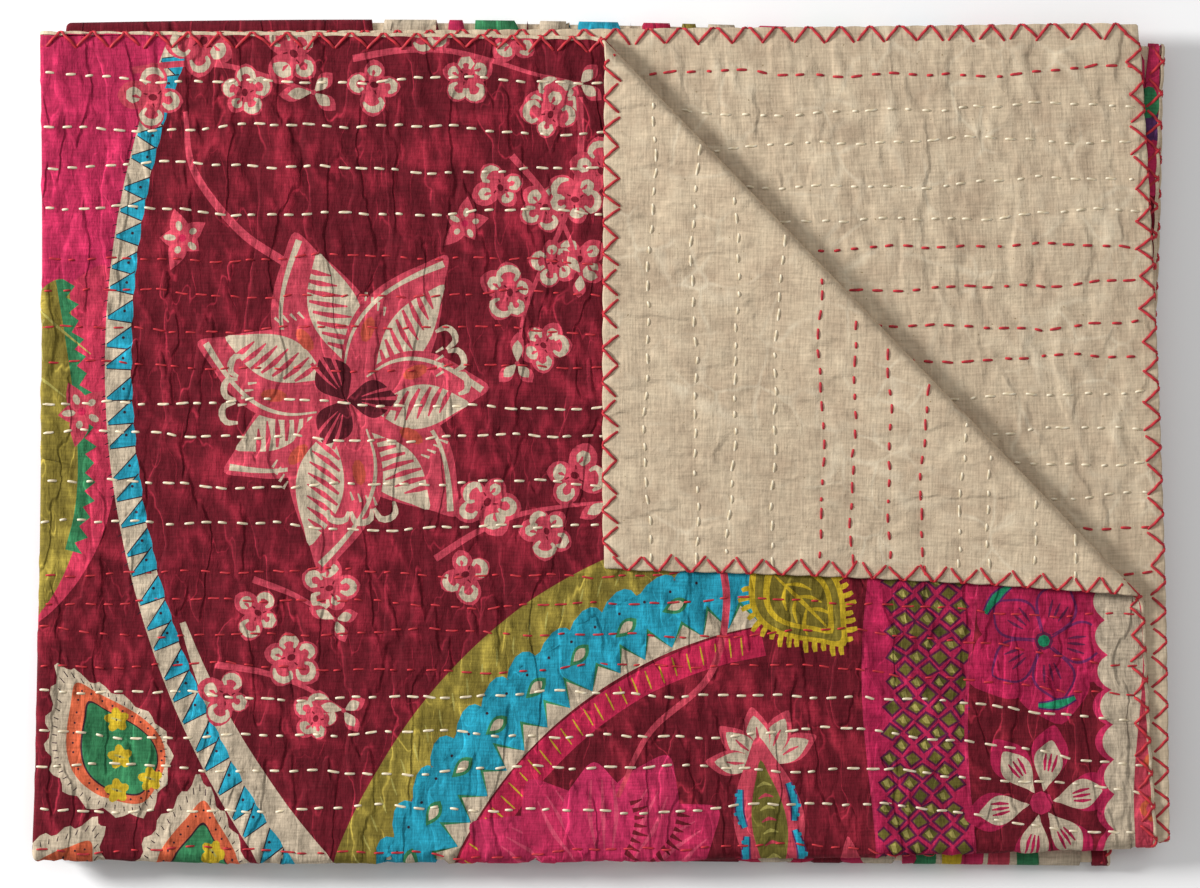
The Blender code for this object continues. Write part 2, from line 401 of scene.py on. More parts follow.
# Main creases where they show, in plan millimetres before the corner turns: from x, y to x, y, the
# height of the ridge (or depth of the trough, if minus) and the half width.
FACE_CREASES = (
    # x0     y0     x1    y1    height width
    (-211, 262, -214, 150, 0.7, 5), (-196, 272, -203, 175, -0.6, 4), (-352, 215, -344, 120, 0.5, 5),
    (-300, 165, -262, 120, 0.6, 4), (-244, 215, -226, 150, -0.5, 4), (-170, 228, -150, 178, 0.6, 4),
    (-128, 205, -98, 160, 0.5, 4), (-120, 238, -112, 205, -0.5, 4), (-62, 210, -48, 120, 0.5, 5),
    (-352, 60, -350, -20, 0.6, 5), (-362, -40, -344, -110, 0.6, 5), (-300, 40, -286, -20, 0.5, 4),
    (-262, 5, -246, -70, 0.7, 5), (-236, -40, -222, -110, -0.6, 4), (-205, -60, -196, -140, 0.6, 5),
    (-176, -68, -160, -128, 0.5, 4), (-140, -62, -120, -120, 0.5, 4), (-93, 40, -84, -30, 0.6, 5),
    (-104, -10, -92, -70, -0.5, 4), (-60, 70, -52, 20, 0.5, 4), (-22, 60, -12, 5, 0.5, 4),
    (-250, -130, -214, -196, 0.6, 5), (-212, -150, -180, -215, 0.7, 5), (-190, -190, -166, -262, -0.6, 4),
    (-150, -140, -124, -196, 0.5, 4), (-132, -205, -118, -270, 0.6, 4), (-88, -130, -62, -178, 0.5, 4),
    (-46, -112, -18, -158, 0.6, 4), (-8, -118, 16, -176, 0.6, 5), (40, -120, 66, -190, 0.6, 4),
    (72, -96, 104, -150, -0.5, 4), (96, -140, 126, -226, 0.6, 5), (140, -150, 168, -222, 0.5, 4),
    (186, -102, 206, -170, 0.5, 4), (212, -140, 232, -236, 0.6, 5), (254, -120, 276, -196, 0.6, 5),
    (300, -118, 318, -180, -0.5, 4), (292, -186, 312, -262, 0.6, 5), (-340, -126, -320, -206, 0.5, 5),
    (-356, -190, -338, -262, 0.5, 4), (8, -190, 40, -262, 0.5, 4), (60, -205, 84, -276, -0.6, 4),
)
LINEN_CREASES_A = (
    (52, 236, 104, 150, 0.6, 5), (118, 182, 150, 96, -0.6, 5), (176, 120, 236, 60, 0.6, 6),
    (210, 30, 262, -30, 0.6, 5), (262, 40, 300, -40, -0.5, 5), (150, 232, 196, 176, 0.6, 5),
    (236, 236, 268, 150, 0.6, 5), (300, 214, 322, 120, -0.6, 5), (280, 96, 330, 30, 0.6, 5),
    (96, 256, 140, 226, -0.5, 4), (330, 250, 344, 176, 0.5, 4), (190, 256, 236, 212, -0.5, 4),
)
LINEN_CREASES_B = (
    (70, 262, 118, 232, 0.6, 5), (196, 250, 204, 168, 0.6, 5), (150, 214, 182, 150, -0.6, 5),
    (268, 262, 262, 190, 0.6, 5), (300, 226, 312, 120, 0.6, 6), (236, 182, 246, 96, -0.6, 5),
    (334, 226, 340, 150, -0.5, 4), (286, 118, 300, 20, 0.6, 5), (330, 96, 336, -10, 0.6, 5),
    (232, 262, 246, 226, -0.5, 4), (356, 40, 350, -60, 0.5, 5),
)


def ridges(x, y, creases):
    total = np.zeros(x.shape)
    for x0, y0, x1, y1, height, width in creases:
        along_x, along_y = (x1 - x0) * MM, (y1 - y0) * MM
        length = math.hypot(along_x, along_y)
        from_x, from_y = x - x0 * MM, y - y0 * MM
        f = (from_x * along_x + from_y * along_y) / length ** 2
        aside = (from_x * along_y - from_y * along_x) / length
        aside = aside + 0.0035 * np.sin(f * 7 + x0) - 0.002 * np.sin(f * 17 + y0)
        fade = ease(f / 0.3) * ease((1 - f) / 0.35)
        total += RIDGE_SHARE * height * MM * fade * np.exp(-(aside / (width * MM)) ** 2)
    return total


def crumple(x, y, seed):
    """Small folds that run mostly from front to back, drifting to the right."""
    skew = x + 0.30 * y + 0.006 * noise(x, y, 0.035, seed + 5)
    fine = 1 - 2.4 * np.abs(noise(skew, y * 0.36, 0.0085, seed))
    broad = 1 - 2.2 * np.abs(noise(skew, y * 0.42, 0.021, seed + 1))
    return CRUMPLE * (0.62 * fine + 0.75 * broad)


def in_sight(across, along):
    """Share of relief, from plan places: top print, turned-back linen, linen of the layer below."""
    x, y, _, section, _ = laid(across, along, LAYER_MIDDLE)
    d = past_roll_start(x, y)
    top = (section == 0) & (across > 0)
    mirror_x = x - 2 * (d - 0.0105) * TO_CORNER[0]
    mirror_y = y - 2 * (d - 0.0105) * TO_CORNER[1]
    under_flap = np.minimum(0.361 - mirror_x, line_y(0, mirror_x, False) - mirror_y)
    printed = top * ease(1 - (d + 0.004) / 0.008) * ease(1 - under_flap / 0.010)
    turned = top * ease((d - 0.012) / 0.030)
    below = (section == 0) * (across < 0) * ease((d + 0.002) / 0.012)
    return x, y, printed, turned, below


def limited(shape):
    """Eases off before the cloth meets the one under it."""
    half = DEEPEST / 2
    return np.where(shape < -half, -half + half * np.tanh((shape + half) / half), shape)


def relief(across, along, printed_side):
    """How far the cloth stands away from its CAD surface."""
    x, y, printed, turned, below = in_sight(across, along)
    gap, row = from_nearest_row(across, along)
    phase = row * 2.4 + 1.5 * noise(across, along, 0.06, 31)
    wave = np.cos(2 * math.pi * np.abs(across) / STITCH_PITCH + phase)
    pucker = PUCKER * wave * np.exp(-np.abs(gap) / PUCKER_REACH)
    valley = VALLEY * np.exp(-(gap / VALLEY_WIDTH) ** 2)
    if printed_side:
        shape = ridges(x, y, FACE_CREASES) + crumple(x, y, 41) + pucker - valley
        return printed * limited(shape)
    flap = -ridges(x, y, LINEN_CREASES_A) - crumple(x, y, 43) - pucker + valley
    layer = -ridges(x, y, LINEN_CREASES_B) - crumple(x, y, 47) - pucker + valley
    return 0.62 * (turned * flap + below * layer)


def on_cloth(across, along, out, printed_side):
    """A place on one side of the finished cloth, or that far off it."""
    side = FACE_OUT if printed_side else LINEN_OUT
    outward = out if printed_side else -out
    return folded(across, along, side + relief(across, along, printed_side) + outward)


# ---- the printed design, drawn in plan millimetres of the layer it lies on ------------------------
FACE_STEP = 0.0033
LINEN_STEP = 0.0029
MAROON, CORAL, MAGENTA, CREAM = "#5e141f", "#a93a49", "#a22548", "#b0a08a"
TEAL, OLIVE, EMERALD, ORANGE = "#218399", "#76682b", "#2f6c46", "#ac5034"
YELLOW, PURPLE, CRIMSON, INK = "#ab9022", "#4c2a52", "#a32040", "#2a1a22"
PALE_OLIVE, HEART, BERRY = "#938a48", "#4a141c", "#961c40"
PATCHES = []
SPREAD = {"section": 0, "on_b": False}


def curve(points, closed=True, step=2.8):
    """A smooth line through the points, with a corner every step or so."""
    p = np.asarray(points, float)
    before = np.roll(p, 1, 0) if closed else np.vstack((2 * p[0] - p[1], p[:-1]))
    after = np.roll(p, -1, 0) if closed else np.vstack((p[1:], 2 * p[-1] - p[-2]))
    beyond = np.roll(p, -2, 0) if closed else np.vstack((after[1:], after[-1:]))
    smooth = []
    for a, b, c, d in zip(before, p, after, beyond) if closed else zip(before, p[:-1], after, beyond):
        count = max(1, round(math.dist(b, c) / step))
        f = (np.arange(count) / count)[:, None]
        bend = (2 * a - 5 * b + 4 * c - d) * f ** 2 + (3 * (b - c) + d - a) * f ** 3
        smooth.append(b + 0.5 * ((c - a) * f + bend))
    if not closed:
        smooth.append(p[-1:])
    return np.concatenate(smooth)


def moved(points, x, y, turn=0.0, size=1.0):
    """Points of a motif of its own, turned by degrees, sized and put at a place."""
    c, s = math.cos(math.radians(turn)) * size, math.sin(math.radians(turn)) * size
    p = np.asarray(points, float)
    return np.stack((x + c * p[..., 0] - s * p[..., 1], y + s * p[..., 0] + c * p[..., 1]), -1)


def paint(dye, outline):
    """Prints a closed shape over what is there already."""
    outline = np.asarray(outline, float) * MM
    flat = np.stack(flat_from_plan(outline[:, 0], outline[:, 1], **SPREAD), -1)
    if SPREAD["on_b"]:
        flat = flat * (-1, 1)
    PATCHES.append((dye, flat))


def ribbon(dye, line, widths, smooth=True, step=3.2):
    """A brush stroke. widths are given at even shares of its length."""
    p = curve(line, False, step) if smooth else np.asarray(line, float)
    lengths = np.concatenate(((0,), np.cumsum(np.linalg.norm(np.diff(p, axis=0), axis=1))))
    half = np.interp(lengths / lengths[-1], np.linspace(0, 1, len(widths)), widths)[:, None] / 2
    forward = np.gradient(p, axis=0)
    forward /= np.linalg.norm(forward, axis=1)[:, None] + 1e-9
    side = np.stack((-forward[:, 1], forward[:, 0]), -1)
    paint(dye, np.concatenate((p + side * half, (p - side * half)[::-1])))


def oval(rx, ry, count=10, start=0.0):
    angle = np.linspace(0, 2 * math.pi, count, endpoint=False) + start
    return np.stack((rx * np.cos(angle), ry * np.sin(angle)), -1)


def lobed(radius, lobes, depth, count, sharp=1.0, phase=0.0):
    """A round shape with a wavy outline."""
    angle = np.linspace(0, 2 * math.pi, count, endpoint=False)
    wave = np.abs(np.cos((angle + phase) * lobes / 2)) ** sharp
    r = radius * (1 - depth + depth * wave)
    return np.stack((r * np.cos(angle), r * np.sin(angle)), -1)


def spot(dye, x, y, rx, ry=None, turn=0.0, count=8):
    paint(dye, moved(oval(rx, ry or rx, count), x, y, turn))


def floret(x, y, turn=0.0, size=1.0, petals=5, dark=MAROON):
    """A small flower: coral, with cream horseshoes for petals round a dark eye."""
    sepal = curve(((2, -5), (11, -9.5), (19, -7), (23, 1), (18, 7.5), (11, 9), (2, 5)), step=4.0)
    angles = [turn + 360 / petals * k + 9 * math.sin(2.9 * k + x) for k in range(petals)]
    grown = [size * (1 + 0.15 * math.sin(5.3 * k + y)) for k in range(petals)]
    for angle, wider in zip(angles, grown):
        paint(CORAL, moved(sepal, x, y, angle, wider))
    for k, (angle, size_here) in enumerate(zip(angles, grown)):
        wide = 6.2 + 1.3 * math.sin(3.1 * k + x)
        arc = [(8.0, -wide * 0.55), (13.0, -wide), (17.4, -wide * 0.4), (17.0, wide * 0.5),
               (12.4, wide * 0.98), (8.8, wide * 0.6)]
        if (k + round(x)) % 3 == 0:
            arc = arc[1:]
        if (2 * k + round(y)) % 3 == 0:
            paint(CREAM, moved(curve([(7.6, -1.0)] + arc, step=3.4), x, y, angle, size_here))
            ribbon(CORAL, moved(((8, 1.4), (11, 0.4), (13.4, 0.8)), x, y, angle, size_here), (0.9, 2.6, 1.0))
        else:
            ribbon(CREAM, moved(arc, x, y, angle, size_here), (1.6, 4.2, 5.0, 4.0, 1.8), step=2.6)
    spot(dark, x, y, 3.4 * size, 2.6 * size, turn)
    for k in range(3):
        tick = moved(((4.5, 0), (7.5, 1.0)), x, y, turn + 120 * k + 36, size)
        ribbon(dark, tick, (1.2, 0.8), smooth=False)


def petal(long, wide, lean=0.0, full=0.8, count=8):
    """A petal or leaf from its root along x. full moves its widest place: under 1 nearer the root."""
    f = np.linspace(0, 1, count)
    half = wide / 2 * np.sin(math.pi * f ** full)
    bend = lean * wide * np.sin(math.pi * f / 2) ** 2
    upper = np.stack((long * f, bend + half), -1)
    lower = np.stack((long * f, bend - half), -1)
    return np.concatenate((upper, lower[-2:0:-1]))


def arc(radius, start, end, count=8):
    angle = np.radians(np.linspace(start, end, count))
    return np.stack((radius * np.cos(angle), radius * np.sin(angle)), -1)


def splash(x, y, turn=0.0, size=1.0):
    """A side view of the same flower: three rounded cream arms on coral."""
    for dye, grown in ((CORAL, 1.35), (CREAM, 1.0)):
        for angle, long in ((44, 18), (128, 17), (268, 22)):
            arm = petal(long * grown, 10 * grown, 0.06, 1.4)
            paint(dye, moved(curve(arm, step=4.0), x, y, turn + angle, size))
    spot(CORAL, x, y, 2.4 * size, count=7)


def scallops(dye, line, count, deep, width, inside=1):
    """A row of open arches along a line."""
    p = curve(line, False, 2.0)
    lengths = np.concatenate(((0,), np.cumsum(np.linalg.norm(np.diff(p, axis=0), axis=1))))
    marks = np.linspace(0, lengths[-1], count + 1)
    knots_x = [np.interp(marks, lengths, p[:, k]) for k in range(2)]
    for k in range(count):
        a = np.array((knots_x[0][k], knots_x[1][k]))
        b = np.array((knots_x[0][k + 1], knots_x[1][k + 1]))
        out = np.array((-(b - a)[1], (b - a)[0])) / np.linalg.norm(b - a) * deep * inside
        out = out * (0.8 + 0.4 * ((k * 7) % 5) / 5)
        arch = (a + (b - a) * 0.06, a + (b - a) * 0.16 + out * 0.8, a + (b - a) * 0.52 + out,
                a + (b - a) * 0.86 + out * 0.75, a + (b - a) * 0.94)
        ribbon(dye, arch, (width * 0.5, width, width * 1.15, width, width * 0.5), step=2.8)


def combed_petal(x, y, turn, long, wide, lean):
    """A coral petal with a thin cream rim along one side, and a cream fan cut by slanting strokes."""
    def at(points):
        return moved(points, x, y, turn)
    paint(CORAL, at(curve(petal(long, wide, lean), step=4.0)))
    ribbon(CREAM, at(petal(long * 0.95, wide * 0.84, lean)[1:8]), (1.2, 2.6, 2.8, 4.6))
    fan = petal(long * 0.66, wide * 0.50, lean, 0.9) + (long * 0.20, -wide * 0.10)
    paint(CREAM, at(curve(fan, step=4.0)))
    for f in np.arange(long * 0.30, long * 0.76, 7.6):
        middle = lean * wide * math.sin(math.pi * f / long / 2) ** 2 - wide * 0.10
        reach = wide * 0.19 * math.sin(math.pi * min(1.0, f / long))
        stroke = ((f - 4, middle - reach), (f, middle), (f + 5, middle + reach * 0.9))
        ribbon(CORAL, at(stroke), (1.0, 3.8, 1.8))


def bloom(x, y, turn, petals=7):
    """The large flower: combed petals round a dark heart, with scallops and orange tints."""
    for k in (0, 2, 4, 6, 1, 3, 5):
        long, wide = 108 + 13 * math.sin(2.1 * k + 1), 64 + 6 * math.cos(1.7 * k)
        combed_petal(x, y, turn + 360 / petals * k, long, wide, 0.16)
    for k in range(petals):
        angle = turn + 360 / petals * (k + 0.45)
        tint = moved(((50, 0),), x, y, angle)[0]
        spot("#a84536", *tint, 9, 4.5, angle, 9)
        if k % 2:
            scallops(CREAM, moved(arc(76, -20, 16, 4), x, y, angle), 3, 9, 4.0, -1)
        for j in range(4):
            ribbon(CREAM, moved(((62 + 2 * j, 5 * j - 8), (68 + 2 * j, 5 * j - 7)), x, y, angle), (1.0, 2.0))
    for k in range(3):
        lobe = petal(34, 26, 0.0, 1.1)
        paint(HEART, moved(curve(lobe), x, y, turn + 120 * k + 20))
        for side in (-5, 0, 5):
            line = ((34, side * 1.5), (20, side), (10, side * 0.4))
            ribbon(CORAL, moved(line, x, y, turn + 120 * k + 20), (2.6, 2.0, 0.6))


def triangle_border(line, widths, pitch):
    """A cream band with teal triangles along its right side, a black dot in each."""
    ribbon(CREAM, line, widths)
    p = curve(line, False, 1.5)
    lengths = np.concatenate(((0,), np.cumsum(np.linalg.norm(np.diff(p, axis=0), axis=1))))
    forward = np.gradient(p, axis=0)
    forward /= np.linalg.norm(forward, axis=1)[:, None]
    side = np.stack((-forward[:, 1], forward[:, 0]), -1)

    def point(s, share):
        where = np.array([np.interp(s, lengths, p[:, k]) for k in range(2)])
        beside = np.array([np.interp(s, lengths, side[:, k]) for k in range(2)])
        width = np.interp(s / lengths[-1], np.linspace(0, 1, len(widths)), widths)
        return where + beside * share * width / 2

    count = int(lengths[-1] / pitch)
    for k in range(1, count):
        s = pitch * (k + 0.12 * math.sin(k * 2.3))
        half = pitch * 0.46
        tip = s + half * min(1.0, 2.2 * k / count)
        paint(TEAL, (point(s - half, 1.0), point(s - half * 0.3, 1.10), point(s + half * 0.4, 1.14),
                     point(s + half, 1.04), point(tip + 0.8, -0.86), point(tip - 1.0, -0.9)))
        for end in (-half, half):
            inner = point(tip + (0.9 if end > 0 else -1.1), -0.9)
            ribbon(INK, (point(s + end, 1.02), inner), (0.9, 0.6), False)
        spot(INK, *point(s, 0.42), 1.1, 1.1, count=6)
        for share in (0.25, 0.75) if k < 0.6 * count else ():
            from_s = s + pitch * share
            ribbon(INK, (point(from_s, -0.98), point(from_s + 1.0, -1.28)), (0.9, 0.5), False)


POINTED = ((0, 0), (0.5, 1))
STEPPED = ((0, 0), (0.06, 0.62), (0.2, 0.96), (0.42, 1), (0.75, 0.62), (0.96, 0.1))


def toothed_strip(dye, line, teeth, high, base, tooth=POINTED):
    """A strip along a line, base wide on one side, with teeth that stand out on the other."""
    p = curve(line, False, 2.0)
    lengths = np.concatenate(((0,), np.cumsum(np.linalg.norm(np.diff(p, axis=0), axis=1))))
    tooth = np.array(tooth)
    uneven = 0.06 * np.sin(2.3 * np.arange(teeth))[:, None]
    marks = (np.arange(teeth)[:, None] + tooth[:, 0] + uneven).ravel() / teeth * lengths[-1]
    reach = (tooth[:, 1] * (1 + 2.5 * uneven)).ravel()[:, None] * high
    x, y = (np.interp(marks, lengths, p[:, k]) for k in range(2))
    forward = np.gradient(np.stack((x, y), -1), axis=0)
    forward /= np.linalg.norm(forward, axis=1)[:, None] + 1e-9
    side = np.stack((-forward[:, 1], forward[:, 0]), -1)
    places = np.stack((x, y), -1)
    paint(dye, np.concatenate((places + side * reach, (places - side * base)[::-1])))


def fringe(dye, line, pitch, reach, widths, lean=0.0):
    """Strokes that stand out on one side of a line like the teeth of a comb."""
    p = curve(line, False, 1.0)
    lengths = np.concatenate(((0,), np.cumsum(np.linalg.norm(np.diff(p, axis=0), axis=1))))
    for k, s in enumerate(np.arange(pitch / 2, lengths[-1], pitch)):
        i = min(int(np.searchsorted(lengths, s)), len(p) - 2)
        forward = (p[i + 1] - p[i]) / np.linalg.norm(p[i + 1] - p[i])
        side = np.array((-forward[1], forward[0]))
        tip = p[i] + (side + forward * lean) * reach * (1 + 0.25 * math.sin(2.1 * k))
        ribbon(dye, (p[i] - side * 0.8, (p[i] + tip) / 2 + forward * 0.3, tip), widths)


def star_flower(x, y, turn=0.0, size=1.0):
    """A small five-pointed flower: coral, with cream drops of several sizes."""
    for k in range(5):
        point = petal(21 + 5 * math.sin(2.7 * k), 14, 0.1, 0.7)
        paint(CORAL, moved(curve(point, step=4.0), x, y, turn + 72 * k, size))
    for k in range(5):
        drop = moved(((9.5, 0.5),), x, y, turn + 72 * k, size)[0]
        spot(CREAM, *drop, (3.0 + k % 3) * size, 2.5 * size, turn + 72 * k, 8)
    spot(CRIMSON, x, y, 3.0 * size)


def paisley(x, y, turn, size, tip):
    """A leaning dome: cream scalloped rim, an orange dotted band, yellow flowers on green."""
    shape = moved(petal(126, 86, tip / 80, 0.75), -2, -66, 90)
    centre = np.array((2.0, -14.0))

    def nested(share, points=shape):
        return centre + (points - centre) * share
    rim = curve(nested(1.0), step=5.0)
    wave = (1 + 0.05 * np.cos(np.arange(len(rim)) * 1.6))[:, None]
    paint(CREAM, moved(centre + (rim - centre) * wave, x, y, turn, size))
    paint(ORANGE, moved(curve(nested(0.80) + (3, -2)), x, y, turn, size))
    paint(INK, moved(curve(nested(0.625) + (3, -5)), x, y, turn, size))
    paint(EMERALD, moved(curve(nested(0.60) + (3, -5)), x, y, turn, size))
    for point_at in curve(nested(0.715) + (3, -3), step=9.0):
        spot(INK, *moved((point_at,), x, y, turn, size)[0], 0.9 * size, count=6)
    for a, b in zip(curve(nested(0.86), step=6.0), curve(nested(0.93), step=6.0 * 0.93 / 0.86)):
        ribbon(INK, moved((a, b), x, y, turn, size), (0.8, 0.5), False)
    for place in ((9, 6), (0, -20), (-12, -42), (14, -44)):
        middle = moved((place,), x, y, turn, size)[0]
        paint(YELLOW, moved(lobed(9.5, 5, 0.42, 24), *middle, turn, size))
        vein = ((place[0] - 3, place[1] + 3), (place[0] + 3, place[1] - 2))
        ribbon(PALE_OLIVE, moved(vein, x, y, turn, size), (1.0, 1.8, 0.8))
        spot(INK, *middle, 0.8 * size, count=6)


def vein_strokes(dye, line, count, reach, width, slant=0.5, sway=0.3):
    """Short strokes across a band."""
    p = curve(line, False, 2.0)
    steps = np.linspace(0.04, 0.96, count) * (len(p) - 1)
    for k, s in enumerate(steps):
        i = int(s)
        forward = p[min(i + 1, len(p) - 1)] - p[i - 1 if i else 0]
        forward /= np.linalg.norm(forward)
        side = np.array((-forward[1], forward[0]))
        off = sway * math.sin(k * 2.7)
        ribbon(dye, (p[i] - side * reach * (0.5 + off), p[i] + forward * reach * slant * 0.5,
                     p[i] + side * reach * (0.5 - off) + forward * reach * slant), (0.6, width, 0.6))


BORDER_ABOUT, BORDER_RADIUS = (262, 56), 590
BANDS_ABOUT = (158, -402)


def spray(x, y, turn, count, size=1.0, gap=31.0):
    """A coral branch with florets on either side of it in turn, and a splash at its end."""
    along = np.arange(count + 1) * gap
    sway = 9 * np.sin(0.9 * np.arange(count + 1))
    stem = moved(np.stack((along, sway), -1), x, y, turn)
    ribbon(CORAL, stem, (4.8, 4.0, 3.0, 2.0))
    for k in range(count):
        beside = (along[k] + 0.5 * gap, sway[k] + (17 if k % 2 else -17))
        middle = moved((beside,), x, y, turn)[0]
        floret(*middle, turn + 47 * k, size * (0.92 + 0.1 * math.sin(2.3 * k)), 5 if k % 3 else 4)
    splash(*stem[-1], turn - 80, 0.8 * size)


def draw_left():
    border = moved(arc(BORDER_RADIUS, 158, 222, 14), *BORDER_ABOUT)
    paint(MAGENTA, np.concatenate((((-430, 330),), border[:7], ((-430, 0),))))
    leaf_place = (-480, -176, 66)
    leaf = petal(310, 150, 0.08, 0.85, 10)
    paint("#ad3048", moved(curve(leaf, step=6.0), leaf_place[0] + 14, leaf_place[1] + 16, leaf_place[2] - 3))
    paint(OLIVE, moved(curve(leaf, step=5.0), *leaf_place))
    toothed_strip(EMERALD, moved(leaf[9:15], *leaf_place), 16, 7, 5)
    rib = moved(((60, 4), (150, 8), (280, 12)), *leaf_place)
    ribbon(PALE_OLIVE, rib, (1.0, 2.4, 1.0))
    vein_strokes(PALE_OLIVE, rib, 13, 50, 2.0, 0.5)
    star_flower(-352, 22, 40, 0.95)
    ribbon(CREAM, moved(arc(BORDER_RADIUS - 16, 198, 222, 8), *BORDER_ABOUT), (4, 14, 26, 40))
    triangle_border(border, (15, 16, 17, 18, 18, 19, 19, 20), 17.4)
    for k, (x, y) in enumerate(((-334, -196), (-272, -282), (-372, -300))):
        paisley(x, y, 24 - 30 * k, 0.92, 10 - 6 * k)


def draw_florets():
    for x, y, turn, count, size in (
        (-318, 254, -5, 4, 1.0), (-168, 262, -3, 5, 0.95), (-14, 236, -101, 6, 0.9), (-60, 196, -62, 3, 0.85),
        (-112, -78, 20, 4, 0.95), (-262, -150, -22, 3, 0.9), (-236, -92, -34, 2, 0.85),
    ):
        spray(x, y, turn, count, size)
    ribbon(CORAL, ((-282, 226), (-276, 186), (-246, 146), (-212, 122)), (3, 5, 5.5, 6))
    star_flower(-284, 140, 30, 0.9)
    star_flower(-92, 150, 8, 0.8)


def draw_bands():
    """Bands along arcs about one point: olive, stepped teal, saw-teeth, and striped crimson."""
    def sweep(radius):
        return moved(arc(radius, 100, 174, 12), *BANDS_ABOUT)
    ribbon(OLIVE, sweep(343), (28, 34, 30, 36), step=5.0)
    vein_strokes(PALE_OLIVE, sweep(343), 30, 9, 1.5, 0.9, 0.1)
    ribbon(TEAL, sweep(306), (40, 44, 40, 46), step=5.0)
    toothed_strip(TEAL, sweep(327), 16, -7.5, -3, STEPPED)
    toothed_strip(EMERALD, sweep(285), 18, -17.5, -2)
    toothed_strip(CREAM, sweep(285), 18, -14, -2)
    for k in range(9):
        angle = 110 + 6.8 * k
        middle = moved(arc(311, angle, angle, 1), *BANDS_ABOUT)[0]
        for dye, size in ((EMERALD, 1.3), (CREAM, 0.8)):
            drop = petal(15, 8, 0.1) - (7, 0)
            paint(dye, moved(curve(drop), *middle, angle + 90 + 14 * math.sin(k), size))
    for x, y in curve(sweep(321), False, 18):
        spot(INK, x, y, 1.1, count=6)
    ribbon(CRIMSON, sweep(272), (20, 17, 20, 18, 22), step=5.0)
    vein_strokes(YELLOW, sweep(272), 34, 13, 1.3, 0.12, 0.06)


def draw_middle():
    # Half a wide flower: petals with ragged hems, fanned from below the fold.
    for k in (0, 4, 1, 3, 2):
        angle = 34 + 29 * k
        fan = petal(96 + 8 * math.sin(2 * k), 50, 0.1, 1.3)
        place = (4, -306, angle)
        paint((MAGENTA, "#a2274a", "#b02a52")[k % 3], moved(curve(fan, step=4.0), *place))
        fringe(MAROON, moved(fan[9:13], *place), 5.0, 8, (3.2, 2.2, 0.6))
        for side in (-9, 0, 9):
            streak = ((30, side * 0.6), (54, side), (78, side * 0.8))
            ribbon("#b4405a", moved(streak, *place), (0.8, 3.2, 0.8))
    ribbon(CORAL, ((12, -240), (34, -196), (74, -158), (86, -110), (80, -66)), (3.0, 4.2, 4.8, 5.2))

    # Yellow leaf with a comb of teeth round it.
    leaf, place = petal(86, 60, 0.12, 0.85), (106, -76, -50)
    for start, end in ((0, 8), (7, 14)):
        fringe(YELLOW, moved(leaf[start:end], *place), 5.9, 6.4, (3.4, 3.8, 2.6), -0.25)
    for dye, share in ((YELLOW, 1.0), ("#6a5d22", 0.88), (YELLOW, 0.72), ("#6a5d22", 0.60)):
        rim = leaf.mean(0) + (leaf - leaf.mean(0)) * share
        paint(dye, moved(curve(rim, step=4.0), *place))
    ribbon(YELLOW, moved(((18, 1), (44, 4), (68, 6)), *place), (1.2, 3.2, 1.2))
    for k in range(3):
        for side in (-1, 1):
            vein = ((28 + 11 * k, 3), (34 + 11 * k, 3 + 7 * side), (42 + 11 * k, 3 + 11 * side))
            ribbon(YELLOW, moved(vein, *place), (1.2, 2.8, 1.0))

    # Bud: cream petals above a coral body with toothed teal sides and an olive middle.
    foot, up = (122, -306), 98
    for k in range(5):
        angle = up - 74 + 37 * k
        for dye, grown in ((CORAL, 1.18), (CREAM, 1.0)):
            sepal = petal(34 * grown, 15 * grown, 0.2, 1.3)
            paint(dye, moved(curve(sepal), foot[0] - 10, foot[1] + 88, angle))
        ribbon(CORAL, moved(((14, 1), (20, 2), (26, 2)), foot[0] - 10, foot[1] + 88, angle), (0.8, 2.2, 0.8))
    body = petal(108, 48, 0.0, 0.9)
    paint(CORAL, moved(curve(body, step=4.0), *foot, up))
    paint("#5f5725", moved(curve(petal(84, 24, 0.0, 0.9), step=4.0) + (8, 0), *foot, up))
    for k in range(8):
        stroke = ((18 + 8 * k, -5), (20 + 8 * k, 0), (18 + 8 * k, 5))
        ribbon((CORAL, PALE_OLIVE)[k % 2], moved(stroke, *foot, up), (0.8, 2.6, 0.8))
    for side in (-1, 1):
        for start in (16, 48):
            line = moved(((start, 17 * side), (start + 12, 19 * side), (start + 26, 16.5 * side)), *foot, up)
            ribbon(PURPLE, line, (5.0, 7.0, 5.0))
            ribbon(TEAL, line, (3.0, 4.6, 3.0))
            fringe(TEAL, line, 6.2, 3.4 * side, (2.6, 2.6, 2.0))
    paint(CORAL, curve(moved(petal(52, 22, 0.1), 176, -318, 96)))


